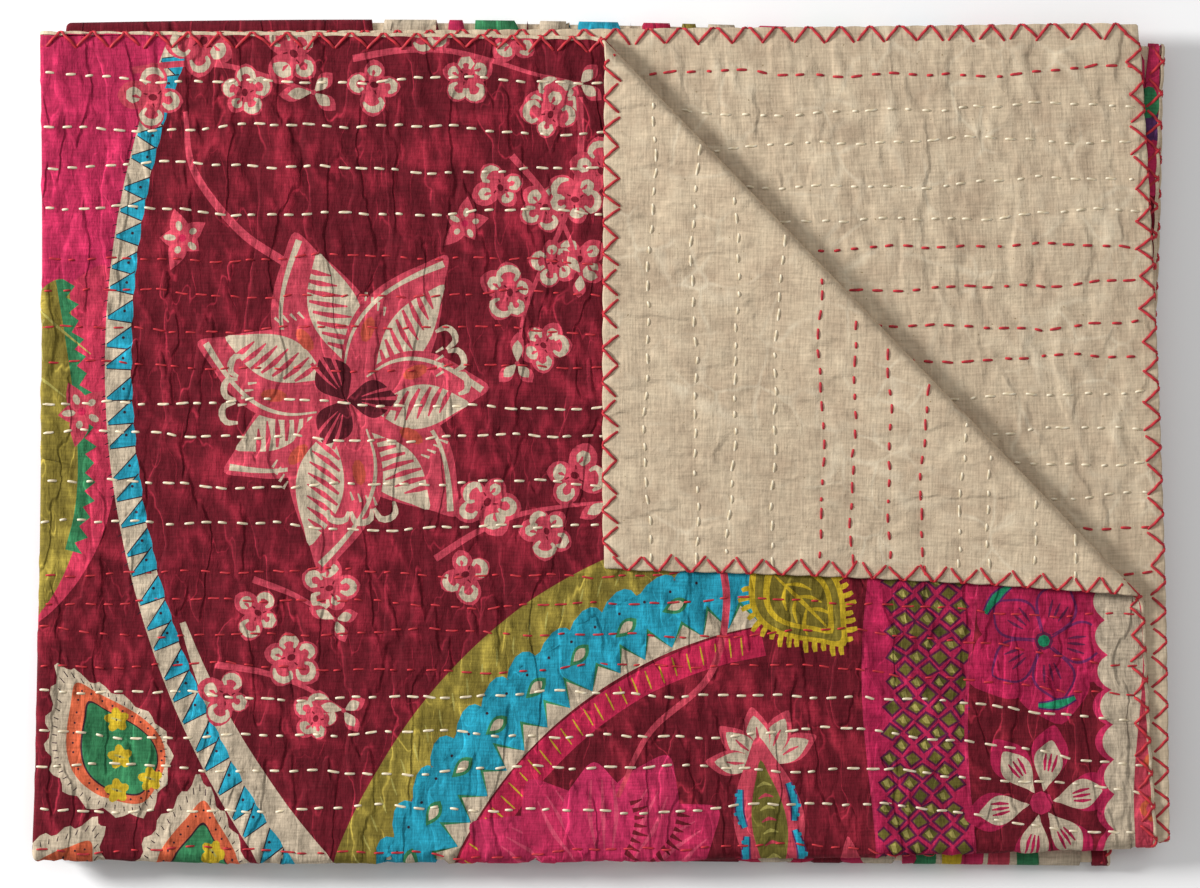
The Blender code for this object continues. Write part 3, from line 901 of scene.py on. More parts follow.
def draw_right():
    # Lattice: a wavering field of uneven diamonds.
    y = np.linspace(-66, -312, 9)
    sides = [np.stack((middle + 5 * np.sin(y / 46 + middle), y), -1) for middle in (184, 254)]
    paint(BERRY, np.concatenate((curve(sides[0], False, 6.0), curve(sides[1], False, 6.0)[::-1])))
    rng = np.random.default_rng(19)
    for row in range(28):
        for column in range(4):
            x = 196 + 15.6 * column + (7.8 if row % 2 else 0) + 4 * math.sin(row / 5.4)
            if x > 249:
                continue
            uneven = rng.uniform(0.82, 1.18, (4, 1))
            diamond = np.array(((7.0, 0), (0, 6.4), (-7.0, 0), (0, -6.4))) * uneven
            place = (x, -76 - 8.6 * row, 8 * math.sin(row + 2 * column))
            paint("#4d1735", moved(diamond, *place))
            paint("#5a5222" if (row + column) % 4 else "#4a451c", moved(diamond * 0.70, *place))
            if (column + 2 * row) % 5 < 3:
                paint("#857c42", moved(((-3, 1), (0, 3), (2.4, -2.5), (-1, -2)), *place))
    for side in sides:
        ribbon(MAGENTA, side, (1.6, 2.4, 2.4, 1.6))

    # Magenta flower: thin purple outlines, and green at the tips of three petals.
    middle = (302, -134)
    for k in range(5):
        paint(BERRY, moved(curve(petal(58, 50, 0.0, 1.2), step=5.0), *middle, 72 * k - 6))
    for k in range(5):
        place = (*middle, 72 * k - 6)
        outline = curve(petal(42, 28, 0.1, 1.3), False, 4.0)
        ribbon("#5c1f48", moved(outline, *place), (0.8, 1.9, 1.2, 2.0, 0.8), smooth=False)
        for side in (-4.6, 0.4, 5.0):
            dash = ((16, side * 0.7), (22, side), (28, side * 1.2))
            ribbon("#571b3a", moved(dash, *place), (0.8, 2.2, 0.8))
        if k % 2 == 0:
            for dye, widths in (("#4a2150", (4.6, 8.4, 4.6)), ("#1c7450", (2.4, 5.8, 2.4))):
                ribbon(dye, moved(arc(44, -17, 17, 5), *place), widths)
    spot("#571b3a", *middle, 6.4)
    spot("#1c7450", *middle, 4.2)

    # Cream flower: six petals with slits on a magenta ground.
    middle = (300, -244)
    for dye, grown in ((BERRY, 1.3), (CREAM, 1.0)):
        for k in range(6):
            leaf = petal(35 * grown, 20 * grown, 0.1, 1.3) + (8, 0)
            paint(dye, moved(curve(leaf), *middle, 60 * k + 10 + 8 * math.sin(2 * k)))
    for k in range(6):
        for side in (-3.4, 0.2, 3.6):
            slit = ((22, side * 0.7), (28, side), (34, side * 1.1))
            ribbon(BERRY, moved(slit, *middle, 60 * k + 10 + 8 * math.sin(2 * k)), (1.0, 2.4, 0.9))
    spot(MAGENTA, *middle, 8)

    # Cream band scalloped on its left, between a magenta line and coral.
    y = np.linspace(-62, -296, 90)
    bumps = 9.0 * np.abs(np.sin(y / 7.6)) ** 0.6
    left = 348 + 4 * np.sin(y / 52) - bumps
    right = 366 + 3 * np.sin(y / 31)
    far_side = np.stack((404 + 0 * y, y), -1)[::-3]
    paint(CORAL, np.concatenate((np.stack((right - 3, y), -1)[::3], far_side)))
    for dye, shift in ((MAGENTA, 5.0), (CREAM, 0.0)):
        far_side = np.stack((right - shift / 3, y), -1)[::-3]
        paint(dye, np.concatenate((np.stack((left - shift, y), -1), far_side)))
    for k in range(5):
        place = (378 + 3 * math.sin(k), -120 - 32 * k)
        paint(ORANGE, moved(lobed(9, 4, 0.2, 14), *place))
        spot(CORAL, *place, 4.5)


def draw_where_folds_show():
    """The same cloth further along, where a little of it shows past the layers above."""
    SPREAD.update(section=1, on_b=True)
    rng = np.random.default_rng(23)
    dyes = (CREAM, MAGENTA, EMERALD, CREAM, TEAL, CRIMSON, OLIVE)
    low = -150.0
    for k in range(16):
        wide = rng.uniform(10, 46)
        paint(dyes[k % 7], ((low, 236), (low + wide, 240), (low + wide + 4, 310), (low - 3, 310)))
        low += wide + rng.uniform(2, 14)
    for x, y, dye, size in ((376, 262, MAGENTA, 26), (372, 232, EMERALD, 12), (378, 214, PURPLE, 11),
                            (374, 188, MAGENTA, 20), (380, 60, CORAL, 16), (376, -40, CREAM, 14),
                            (378, -120, TEAL, 16), (380, -200, OLIVE, 22)):
        paint(dye, moved(lobed(size, 5, 0.25, 22), x, y))
    for x, y in ((-378, 210), (-372, 60), (-376, -120)):
        floret(x, y, x * 7, 1.0)
    SPREAD.update(section=2, on_b=False)
    paint(CREAM, ((204, -260), (334, -260), (334, -310), (204, -310)))
    for k, dye in enumerate((EMERALD, YELLOW, MAGENTA, CORAL, EMERALD)):
        low = 216 + 17 * k
        slant = 5 * math.sin(2 * k)
        paint(dye, curve(((low, -262), (low + 12, -262), (low + 12 + slant, -310), (low + slant, -310))))
    for x, dye in ((-330, TEAL), (-210, OLIVE), (-96, MAGENTA), (20, CORAL), (120, CRIMSON), (190, MAGENTA)):
        paint(dye, moved(lobed(26, 6, 0.2, 26), x, -282))
        paint(CREAM, moved(lobed(12, 6, 0.35, 20), x, -282))
    for x, y, dye in ((-374, 190, OLIVE), (-372, 20, CORAL), (-376, -160, MAGENTA), (366, 210, CRIMSON),
                      (366, 40, TEAL), (360, -150, OLIVE)):
        paint(dye, moved(lobed(24, 5, 0.25, 24), x, y))
    SPREAD.update(section=3, on_b=False)
    spots = [(-320 + 128 * i + 50 * (j % 2), -210 + 105 * j) for j in range(5) for i in range(6)]
    for k, (x, y) in enumerate(spots):
        if abs(x) < 350:
            if k % 3 == 1:
                star_flower(x, y, 31 * k, 1.3)
            else:
                floret(x, y, 37 * k, 1.35)
    ribbon(OLIVE, ((-380, -120), (-240, -160), (-80, -120), (90, -150), (250, -110), (380, -150)), (12,) * 6)
    ribbon(TEAL, ((-380, 100), (-240, 60), (-80, 100), (90, 62), (250, 100), (380, 66)), (12,) * 6)
    SPREAD.update(section=0, on_b=False)


draw_left()
draw_florets()
bloom(-172, 30, 102)
draw_bands()
draw_middle()
draw_right()
draw_where_folds_show()


def inside(outline, points):
    """Which of the points lie inside a closed outline."""
    found = np.zeros(len(points), bool)
    low, high = outline.min(0), outline.max(0)
    near = np.flatnonzero(((points >= low) & (points <= high)).all(1))
    if not len(near):
        return found
    x, y = points[near, 0], points[near, 1]
    odd = np.zeros(len(near), bool)
    for (x0, y0), (x1, y1) in zip(outline, np.roll(outline, -1, 0)):
        if y0 == y1:
            continue
        crosses = (y0 > y) != (y1 > y)
        odd ^= crosses & (x < x0 + (y - y0) * (x1 - x0) / (y1 - y0))
    found[near] = odd
    return found


# How strongly crackle lines and the ridges, which are worn and painted lighter as a highlight, brighten each
# dye; 0.4 where it isn't given.
GLOW = {HEART: 1.0, CREAM: 0.0, OLIVE: 0.8, PALE_OLIVE: 0.4, TEAL: 0.25, YELLOW: 0.2, INK: 1.0}


def dyes_at(points):
    """The dye of each place: that of the last shape printed over it, and how strongly crackle and the ridges'
    fading and painted highlight brighten it, which is 1 on the maroon ground.
    """
    dye = np.tile(linear(MAROON), (len(points), 1))
    ground = np.ones(len(points))
    for name, outline in PATCHES:
        covered = inside(outline, points)
        dye[covered] = linear(name)
        ground[covered] = GLOW.get(name, 0.4)
    return dye, ground


# ---- the two cloths -------------------------------------------------------------------------------
RIM = 0.0012                                # linen turned over onto the print at a finished edge
HEM_ARC = math.pi * LAYER_HALF
HEM = HEM_ARC + RIM
FACE_SHORT = 0.0005


def hexagons(a0, a1, t0, t1, step):
    """Evenly spread places over a rectangle of flat cloth."""
    high = step * math.sqrt(3) / 2
    t = np.arange(t0 + high / 2, t1, high)
    a = np.arange(a0 + step / 4, a1 - step / 4, step)
    grid_a, grid_t = np.meshgrid(a, t)
    grid_a = grid_a + (np.arange(len(t)) % 2)[:, None] * step / 2
    keep = grid_a < a1 - step / 5
    return np.stack((grid_a[keep], grid_t[keep]), -1)


def lattice(across, along):
    grid_a, grid_t = np.meshgrid(across, along)
    return np.stack((grid_a.ravel(), grid_t.ravel()), -1)


def along_crease(distances, step):
    """Places on lines beside the diagonal crease, on the uppermost layer."""
    s = np.arange(-0.02, 0.56, step)
    rows = []
    for k, d in enumerate(distances):
        start = ROLL_START + TO_CORNER * d
        line = start + (s + (k % 2) * step / 2)[:, None] * ALONG_CREASE
        rows.append(np.stack(flat_from_plan(line[:, 0], line[:, 1]), -1))
    return np.concatenate(rows)


FOLD_STARTS = np.array([section * (RUN + ARC) + RUN for section in range(3)])


def cloth_points(low_a, high_a, low_t, high_t, fine_zone, fine_step, mid_zone):
    """Places for the cloth's corners: close where it shows, far apart where it doesn't."""
    hidden = hexagons(low_a, high_a, low_t, high_t, 0.024)
    middling = hexagons(low_a, high_a, low_t, high_t, 0.0100)
    fine = hexagons(low_a, high_a, low_t, high_t, fine_step)
    in_fine, in_middle = (fine_zone(points) for points in (fine, middling))
    middling = middling[mid_zone(middling) & ~in_middle]
    hidden = hidden[~fine_zone(hidden) & ~mid_zone(hidden)]
    points = np.concatenate((fine[in_fine], middling, hidden))

    # Rows round the folds replace what lies there.
    rest = points[:, 1] - np.floor(points[:, 1] / (RUN + ARC)) * (RUN + ARC)
    in_fold = (rest > RUN - 0.001) & (points[:, 1] < FOLD_STARTS[-1] + ARC + 0.001)
    in_hairpin = np.abs(points[:, 0]) < HAIR + 0.001
    _, _, _, section, _ = laid(points[:, 0], points[:, 1], 0.0)
    plan_x, plan_y = laid(points[:, 0], points[:, 1], LAYER_MIDDLE)[:2]
    d = past_roll_start(plan_x, plan_y)
    in_roll = (section == 0) & (points[:, 0] > 0) & (d > -0.0018) & (d < ROLL_LENGTH + 0.0018)
    near_edge = (
        (points[:, 0] < low_a + 0.0022) | (points[:, 0] > high_a - 0.0022)
        | (points[:, 1] < low_t + 0.0022) | (points[:, 1] > high_t - 0.0022)
    )
    points = points[~in_fold & ~in_hairpin & ~in_roll & ~near_edge]

    across = np.concatenate((np.arange(low_a, -HAIR, 0.0090)[1:], np.arange(HAIR, high_a, 0.0090)[1:]))
    along = np.arange(low_t, high_t, 0.0040)[1:]
    hairpin = np.linspace(-HAIR, HAIR, 9)
    round_folds = np.concatenate([start + np.linspace(0, ARC, 11) for start in FOLD_STARTS])
    parts = [points, lattice(across, round_folds), lattice(hairpin, along), lattice(hairpin, round_folds)]
    roll = along_crease(np.linspace(0, ROLL_LENGTH, 14), 0.0050)
    inside = (roll[:, 0] > HAIR + 0.002) & (roll[:, 0] < high_a - 0.0022)
    inside &= (roll[:, 1] > low_t + 0.0022) & (roll[:, 1] < RUN - 0.002)
    parts.append(roll[inside])
    return np.concatenate(parts)


def rim_points(low_a, high_a, low_t, high_t, beyond):
    """Places round the finished edges, and on the lines that far beyond them."""
    along = np.arange(low_t, high_t + 1e-9, (high_t - low_t) / 700)
    across = np.arange(low_a, high_a + 1e-9, (high_a - low_a) / 450)
    parts = []
    for out in beyond:
        parts += [lattice((low_a - out, high_a + out), along), lattice(across, (low_t - out, high_t + out))]
    return np.concatenate(parts)


def triangulate(points, outlines, low_a, high_a, low_t, high_t):
    """Joins the places up, keeping every outline as edges between them."""
    points = np.concatenate([points] + outlines) if outlines else points
    points[:, 0] = np.clip(points[:, 0], low_a, high_a)
    points[:, 1] = np.clip(points[:, 1], low_t, high_t)
    edges = []
    start = len(points) - sum(len(outline) for outline in outlines)
    for outline in outlines:
        n = len(outline)
        edges += [(start + i, start + (i + 1) % n) for i in range(n)]
        start += n
    found = delaunay_2d_cdt([Vector(p) for p in points.tolist()], edges, [], 0, 1e-5, False)
    corners = np.array([tuple(v) for v in found[0]])
    faces = np.array([tuple(f) for f in found[2]])
    a, b, c = (corners[faces[:, k]] for k in range(3))
    area = (b[:, 0] - a[:, 0]) * (c[:, 1] - a[:, 1]) - (b[:, 1] - a[:, 1]) * (c[:, 0] - a[:, 0])
    faces = faces[np.abs(area) > 2e-10]
    area = area[np.abs(area) > 2e-10]
    faces[area < 0] = faces[area < 0][:, ::-1]
    return corners, faces


def bake_corners(places, middles):
    """Layout of a cloth's own picture: the uppermost section of each half is largest."""
    a, t = places[..., 0], places[..., 1]
    on_b = (middles[:, 0] < 0)[:, None]
    top = (middles[:, 1] < RUN + ARC)[:, None]
    side = np.abs(a) / (HALF + HEM)
    u_top = 0.005 + 0.487 * side + 0.504 * on_b
    v_top = 0.995 - 0.375 * (t + HEM) / (RUN + ARC + HEM)
    rest = (t - RUN - ARC) / (LENGTH + HEM - RUN - ARC)
    u_low = 0.005 + 0.99 * rest
    v_low = 0.005 + 0.295 * side + 0.305 * on_b
    return np.stack((np.where(top, u_top, u_low), np.where(top, v_top, v_low)), -1)


def print_bake_corners(places, middles):
    """The same for the print, most of it for the uppermost layer."""
    a, t = places[..., 0], places[..., 1]
    on_b = (middles[:, 0] < 0)[:, None]
    top = ((middles[:, 1] < RUN + ARC) & (middles[:, 0] > 0))[:, None]
    side = np.abs(a) / HALF
    u_top, v_top = 0.003 + 0.994 * side, 0.997 - 0.745 * t / (RUN + ARC)
    u_a, v_a = 0.003 + 0.994 * (t - RUN - ARC) / (LENGTH - RUN - ARC), 0.128 + 0.118 * side
    u_b, v_b = 0.003 + 0.994 * t / LENGTH, 0.003 + 0.118 * side
    u = np.where(top, u_top, np.where(on_b, u_b, u_a))
    v = np.where(top, v_top, np.where(on_b, v_b, v_a))
    return np.stack((u, v), -1)


def add_mesh(name, corners, faces, flat, bake, smooth=True):
    mesh = bpy.data.meshes.new(name)
    mesh.vertices.add(len(corners))
    mesh.vertices.foreach_set("co", corners.ravel())
    sides = faces.shape[1]
    mesh.loops.add(faces.size)
    mesh.loops.foreach_set("vertex_index", faces.ravel())
    mesh.polygons.add(len(faces))
    mesh.polygons.foreach_set("loop_start", np.arange(0, faces.size, sides))
    mesh.update(calc_edges=True)
    mesh.polygons.foreach_set("use_smooth", np.full(len(faces), smooth))
    for layer, values in (("ClothPlan", flat), ("OFBake", bake)):
        if values is not None:
            mesh.uv_layers.new(name=layer).data.foreach_set("uv", values.ravel())
    mesh.validate()
    piece = bpy.data.objects.new(name, mesh)
    bpy.context.scene.collection.objects.link(piece)
    return piece


def facing(corners, faces, wanted):
    """Turns every face that points away from the wanted directions."""
    a, b, c = (corners[faces[:, k]] for k in range(3))
    normal = np.cross(b - a, c - a)
    wrong = (normal * wanted).sum(-1) < 0
    faces = faces.copy()
    faces[wrong] = faces[wrong][:, ::-1]
    return faces


def sheet_piece(name, places, faces, put, bake):
    """Lays a flat mesh on the folds. put gives the place at a distance out from its visible side."""
    corners, lifted = put(places, 0.0), put(places, 0.0002)
    faces = facing(corners, faces, (lifted - corners)[faces].mean(1))
    loops = places[faces]
    middles = loops.mean(1)
    piece = add_mesh(name, corners, faces, loops, bake(loops, middles))
    return piece, faces, middles


def face_is_fine(points):
    x, y, printed, _, _ = in_sight(points[:, 0], points[:, 1])
    return printed > 0.02


def face_is_middling(points):
    """The underside, and what shows past the layers above at the folds and the right."""
    a, t = points[:, 0], points[:, 1]
    x, y, _, section, _ = laid(a, t, LAYER_MIDDLE)
    underside = (section == 3) & (a > 0)
    peeks = (np.abs(a) > HALF - 0.03) | (t % (RUN + ARC) > RUN - 0.03) | (t % (RUN + ARC) < 0.03)
    return underside | peeks


def linen_is_fine(points):
    _, _, _, turned, below = in_sight(points[:, 0], points[:, 1])
    return (turned > 0) | (below > 0.02)


def linen_is_middling(points):
    a, t = points[:, 0], points[:, 1]
    return (np.abs(a) > HALF - 0.02) | (t < 0.03) | (t > LENGTH - 0.02)


def put_face(places, out):
    return on_cloth(places[:, 0], places[:, 1], out, True)


def put_linen(places, out):
    """The linen turns over at the finished edges, onto the print."""
    a, t = places[:, 0], places[:, 1]
    past = np.stack((np.abs(a) - HALF, -t, t - LENGTH))
    angle = np.clip(past, 0, HEM_ARC) / LAYER_HALF
    reach = (LAYER_HALF + out) * np.sin(angle) - np.maximum(past - HEM_ARC, 0)
    rise = (LAYER_HALF - (LAYER_HALF + out) * np.cos(angle)).max(0)
    hem = ease((past - HEM_ARC).max(0) / 0.0004)
    a = np.sign(a) * (np.minimum(np.abs(a), HALF) + np.where(past[0] > 0, reach[0], 0))
    t = np.clip(t, 0, LENGTH) - np.where(past[1] > 0, reach[1], 0) + np.where(past[2] > 0, reach[2], 0)
    edge = np.maximum(past.max(0) + 0.004, 0) / 0.004
    stand = relief(a, t, False) * (1 - ease(edge)) + relief(a, t, True) * ease((past.max(0) - 0.002) / 0.001)
    return folded(a, t, LINEN_OUT + stand + rise + 0.00015 * hem)


face_box = (-HALF + FACE_SHORT, HALF - FACE_SHORT, FACE_SHORT, LENGTH - FACE_SHORT)
face_points = np.concatenate((
    cloth_points(*face_box, face_is_fine, FACE_STEP, face_is_middling),
    rim_points(*face_box, (0.0, -0.0022)),
))
outlines = [outline for dye, outline in PATCHES]
seams = [
    np.array(((0.0, face_box[2]), (0.0, face_box[3]))),
    np.array(((0.0, RUN + ARC), (face_box[1], RUN + ARC))),
]
face_flat, face_faces = triangulate(face_points, outlines + seams, *face_box)
printed_cotton, face_faces, face_middles = sheet_piece(
    "printed_cotton", face_flat, face_faces, put_face, print_bake_corners
)


def colour_corners(piece, name, values):
    """Values for each corner of each triangle, which the piece's material reads by name."""
    rgba = np.ones((len(values), 4))
    rgba[:, :3] = values if values.ndim == 2 else values[:, None]
    piece.data.color_attributes.new(name, "FLOAT_COLOR", "CORNER").data.foreach_set("color", rgba.ravel())


def ridge_wear_and_highlight_of(flat, faces, printed_side):
    """1 on the ridges, which fade and rub and are painted lighter as a highlight, 0 on the flat and in the
    valleys.
    """
    a, t = flat[:, 0], flat[:, 1]
    height = relief(a, t, printed_side) * (1 if printed_side else -1)
    return ease((height - 0.00018) / 0.0009)[faces].ravel()


face_dyes, face_ground = dyes_at(face_middles)
colour_corners(printed_cotton, "dye", np.repeat(face_dyes, 3, 0))
colour_corners(printed_cotton, "ground", np.repeat(face_ground, 3, 0))
# Ridges are painted paler: partly real fading, partly a painted highlight.
colour_corners(printed_cotton, "ridge_wear_and_highlight", ridge_wear_and_highlight_of(face_flat, face_faces, True) * 0.55)


linen_box = (-HALF, HALF, 0.0, LENGTH)
hem_steps = [HEM_ARC * f for f in (0.0, 0.17, 0.34, 0.5, 0.66, 0.83, 1.0)] + [HEM_ARC + RIM / 2, HEM]
linen_points = np.concatenate((
    cloth_points(*linen_box, linen_is_fine, LINEN_STEP, linen_is_middling),
    rim_points(*linen_box, hem_steps),
))
seams = [
    np.array(((0.0, -HEM), (0.0, LENGTH + HEM))),
    np.array(((-HALF - HEM, RUN + ARC), (HALF + HEM, RUN + ARC))),
]
wide_box = (-HALF - HEM, HALF + HEM, -HEM, LENGTH + HEM)
linen_flat, linen_faces = triangulate(linen_points, seams, *wide_box)
linen, linen_faces, _ = sheet_piece(
    "linen", linen_flat, linen_faces, put_linen, bake_corners
)
inside_rim = np.clip(linen_flat, (-HALF, 0.0), (HALF, LENGTH))
# The linen's ridges are painted paler too: partly wear, partly a painted highlight.
colour_corners(linen, "ridge_wear_and_highlight", ridge_wear_and_highlight_of(inside_rim, linen_faces, False) * 0.35)


# ---- threads --------------------------------------------------------------------------------------
def thread_model(stations):
    """One straight thread, as rings of corners and its triangles; every stitch is a bent copy."""
    bpy.ops.object.select_all(action="DESELECT")
    bpy.ops.mesh.primitive_circle_add(vertices=6, radius=1.0, fill_type="NGON", location=(0, 0, 0))
    model = bpy.context.active_object
    bpy.ops.object.mode_set(mode="EDIT")
    bpy.ops.mesh.select_all(action="SELECT")
    for _ in range(stations - 1):
        bpy.ops.mesh.extrude_region_move(TRANSFORM_OT_translate={"value": (0, 0, 1)})
    bpy.ops.mesh.select_all(action="SELECT")
    bpy.ops.mesh.normals_make_consistent(inside=False)
    bpy.ops.mesh.quads_convert_to_tris()
    bpy.ops.object.mode_set(mode="OBJECT")
    rings = np.array([tuple(v.co) for v in model.data.vertices])
    triangles = np.array([tuple(p.vertices) for p in model.data.polygons])
    bpy.data.objects.remove(model, do_unlink=True)
    return rings, triangles


def thread_place(across, along, out, on_print):
    """Where a thread's middle lies, that far off the side of the cloth it runs on."""
    a, t = across.ravel(), along.ravel()
    face = on_cloth(a, t, out.ravel(), True)
    back = put_linen(np.stack((a, t), -1), out.ravel())
    place = np.where(np.broadcast_to(on_print, across.shape).ravel()[:, None], face, back)
    return place.reshape(*across.shape, 3)


def unit(v):
    return v / (np.linalg.norm(v, axis=-1, keepdims=True) + 1e-12)


def thread_mesh(name, across, along, out, on_print, half_wide, half_high):
    """Joins bent copies of one thread: rows are threads, columns their stations."""
    count, stations = across.shape
    rings, triangles = thread_model(stations)
    centre = thread_place(across, along, out, on_print)
    lifted = thread_place(across, along, out + 0.0003, on_print)
    forward = unit(np.gradient(centre, axis=1))
    side = unit(np.cross(unit(lifted - centre), forward))
    up = np.cross(forward, side)
    k = np.rint(rings[:, 2]).astype(int)
    wide = (half_wide[:, k] * rings[:, 0])[..., None]
    high = (half_high[:, k] * rings[:, 1])[..., None]
    corners = (centre[:, k] + side[:, k] * wide + up[:, k] * high).reshape(-1, 3)
    faces = (triangles[None] + (np.arange(count) * len(rings))[:, None, None]).reshape(-1, 3)

    angle = (np.arctan2(rings[:, 1], rings[:, 0]) / (2 * math.pi)) % 1.0
    corner_angle, corner_k = angle[triangles], k[triangles].astype(float)
    wraps = (corner_angle.max(1) - corner_angle.min(1) > 0.5)[:, None] & (corner_angle < 0.1)
    corner_angle = corner_angle + wraps
    cap = (corner_k.max(1) == corner_k.min(1))[:, None]
    u = np.where(cap, 0.02 + 0.015 * np.cos(2 * math.pi * corner_angle), 0.06 + 0.88 * corner_angle)
    v = np.where(cap, 0.02 + 0.015 * np.sin(2 * math.pi * corner_angle),
                 0.06 + 0.88 * corner_k / (stations - 1))
    grid = math.ceil(math.sqrt(count))
    cell = np.arange(count)
    u_all = (cell % grid)[:, None, None] + u[None]
    v_all = (cell // grid)[:, None, None] + v[None]
    bake = np.stack((u_all, v_all), -1).reshape(-1, 3, 2) / grid
    length = np.linalg.norm(np.diff(centre, axis=1), axis=2).sum(1)
    run = length[:, None, None] * (corner_k / (stations - 1))[None]
    plan = np.stack((run, np.broadcast_to(corner_angle[None], run.shape)), -1).reshape(-1, 3, 2)
    return add_mesh(name, corners, faces, plan, bake)


STATION_SHARE = np.array((0.0, 0.10, 0.34, 0.66, 0.90, 1.0))
STITCH_DEPTH = np.array((-0.75, -0.05, 0.34, 0.34, -0.05, -0.75)) * MM
STITCH_WIDTH = np.array((0.45, 0.82, 1.0, 1.0, 0.82, 0.45))
STITCH = 0.0068                             # length on the print; the rest of the pitch is on the linen


def running_stitches():
    """Every stitch that shows, as rows of across, along, on_print, half and thread."""
    rng = np.random.default_rng(7)
    found = []
    for half, sign in (("a", 1), ("b", -1)):
        for row, (_, thread) in enumerate(ROWS[half]):
            holes = [0.0004 + rng.uniform(0, 0.4 * STITCH_PITCH)]
            while holes[-1] < HALF - 0.004:
                holes.append(holes[-1] + STITCH_PITCH * rng.uniform(0.86, 1.14))
            holes = np.array(holes)
            long = STITCH + 0.0014 * rng.standard_normal(len(holes)).clip(-1.8, 1.8)
            tilt = 0.00035 * rng.standard_normal((len(holes), 2))
            for on_print in (True, False):
                start = holes[:-1] if on_print else holes[:-1] + long[:-1]
                end = (holes[:-1] + long[:-1]) if on_print else holes[1:]
                start, end = start - 0.0004, end + 0.0004
                keep = (end < HALF - 0.002) & (end - start > 0.002)
                across = start[keep, None] + (end - start)[keep, None] * STATION_SHARE
                slant = tilt[:-1][keep] @ np.array((1 - STATION_SHARE, STATION_SHARE))
                along = row_along(half, row, across) + slant
                across = across * sign
                middle = across[:, 2:4].mean(1), along[:, 2:4].mean(1)
                _, _, printed, turned, below = in_sight(*middle)
                shows = (printed > 0.25) if on_print else ((turned > 0.03) | (below > 0.15))
                bottom = np.full(len(across), on_print and half == "a") & (middle[1] > 3 * (RUN + ARC))
                for i in np.flatnonzero(shows | bottom):
                    found.append((across[i], along[i], on_print, thread, bool(bottom[i])))
    return found


def stitch_piece(name, chosen, half_wide, half_high):
    across = np.array([s[0] for s in chosen])
    along = np.array([s[1] for s in chosen])
    on_print = np.array([[s[2]] for s in chosen])
    flat = np.array([[s[4]] for s in chosen])
    # On the underside the threads are pressed level with the cloth.
    out = np.where(flat, -0.00028, STITCH_DEPTH)
    wide = half_wide * STITCH_WIDTH * np.ones_like(across)
    high = np.where(flat, 0.0004, half_high) * STITCH_WIDTH
    return thread_mesh(name, across, along, out, on_print, wide, high)


stitches = running_stitches()
cream = [s for s in stitches if s[3] == "cream"]
red = [s for s in stitches if s[3] == "red"]
cream_stitches = stitch_piece("cream_stitches", cream, 0.00098, 0.00062)
red_on_print = stitch_piece("red_stitches_on_print", [s for s in red if s[2]], 0.00078, 0.00050)
red_on_linen = stitch_piece("red_stitches_on_linen", [s for s in red if not s[2]], 0.00105, 0.00068)

# The edging: whipped over the edge one way and then back, through the same holes.
WHIP_DEEP = 0.0094
WHIP_SHARE = np.array((0.02, 0.06, 0.20, 0.36, 0.42, 0.48, 0.54, 0.60, 0.78, 0.94, 0.98))
WHIP_INWARD = np.array((1.0, 0.90, 0.50, 0.10, 0, 0, 0, 0.12, 0.50, 0.90, 1.0))
WHIP_PAST = np.array((0, 0, 0, 0, 0.22, 0.5, 0.78, 0, 0, 0, 0)) * HEM_ARC
WHIP_OUT = np.array((-0.8, 0.15, 0.55, 0.5, 0.45, 0.45, 0.45, 0.65, 0.55, 0.1, -0.8)) * MM
WHIP_ON_PRINT = np.array((0, 0, 0, 0, 0, 0, 0, 1, 1, 1, 1), bool)


def whipping(edge, back, seed):
    """Threads over one finished edge; back runs them the other way."""
    rng = np.random.default_rng(seed)
    marks = EDGE_KNOTS[edge]
    holes = (marks[1:] + marks[:-1]) / 2 + 0.0011 * rng.standard_normal(len(marks) - 1).clip(-1.5, 1.5)
    holes = np.concatenate(((marks[0] - 0.0105,), holes, (marks[-1] + 0.0105,)))
    deep = WHIP_DEEP * rng.uniform(0.84, 1.16, len(holes))
    start, end = (holes[1:], holes[:-1]) if back else (holes[:-1], holes[1:])
    deep_start, deep_end = (deep[1:], deep[:-1]) if back else (deep[:-1], deep[1:])
    place = start[:, None] + (end - start)[:, None] * WHIP_SHARE
    inward = np.where(WHIP_ON_PRINT, deep_end[:, None], deep_start[:, None]) * WHIP_INWARD
    past = WHIP_PAST - inward
    if edge.startswith("right"):
        across = (HALF + past) * (1 if edge == "right_a" else -1)
        return across, place
    return place, (-past if edge == "first" else LENGTH + past)


edging = [whipping(edge, back, 60 + 2 * i + back)
          for i, edge in enumerate(("right_a", "right_b", "first", "last")) for back in (False, True)]
edge_across = np.concatenate([pair[0] for pair in edging])
edge_along = np.concatenate([pair[1] for pair in edging])
is_back = np.concatenate([np.full(len(pair[0]), i % 2 == 1) for i, pair in enumerate(edging)])
_, _, printed, turned, below = in_sight(edge_across[:, 1], edge_along[:, 1])
open_above = np.where(WHIP_ON_PRINT, printed[:, None] > 0.05, ((turned > 0.0) | (below > 0.05))[:, None])
in_rim = WHIP_PAST > 0
underneath = (edge_across[:, :1] > 0) & (edge_along[:, 1:2] > 3 * (RUN + ARC))
loose = np.where(open_above | (in_rim & ~underneath), 1.0, 0.30)
lie = np.where(WHIP_OUT > 0, WHIP_OUT * loose, WHIP_OUT) + (is_back[:, None] & open_above) * 0.0003
taper = np.array((0.5, 0.9, 1, 1, 1, 1, 1, 1, 1, 0.9, 0.5))
edging_thread = thread_mesh(
    "edging_thread", edge_across, edge_along, lie, WHIP_ON_PRINT[None],
    0.00108 * taper * np.ones_like(edge_across), 0.00076 * taper * loose,
)
THREAD_SLOTS = (
    (cream_stitches, "cream_thread"), (red_on_print, "red_thread"), (red_on_linen, "red_thread"),
    (edging_thread, "red_thread"),
)


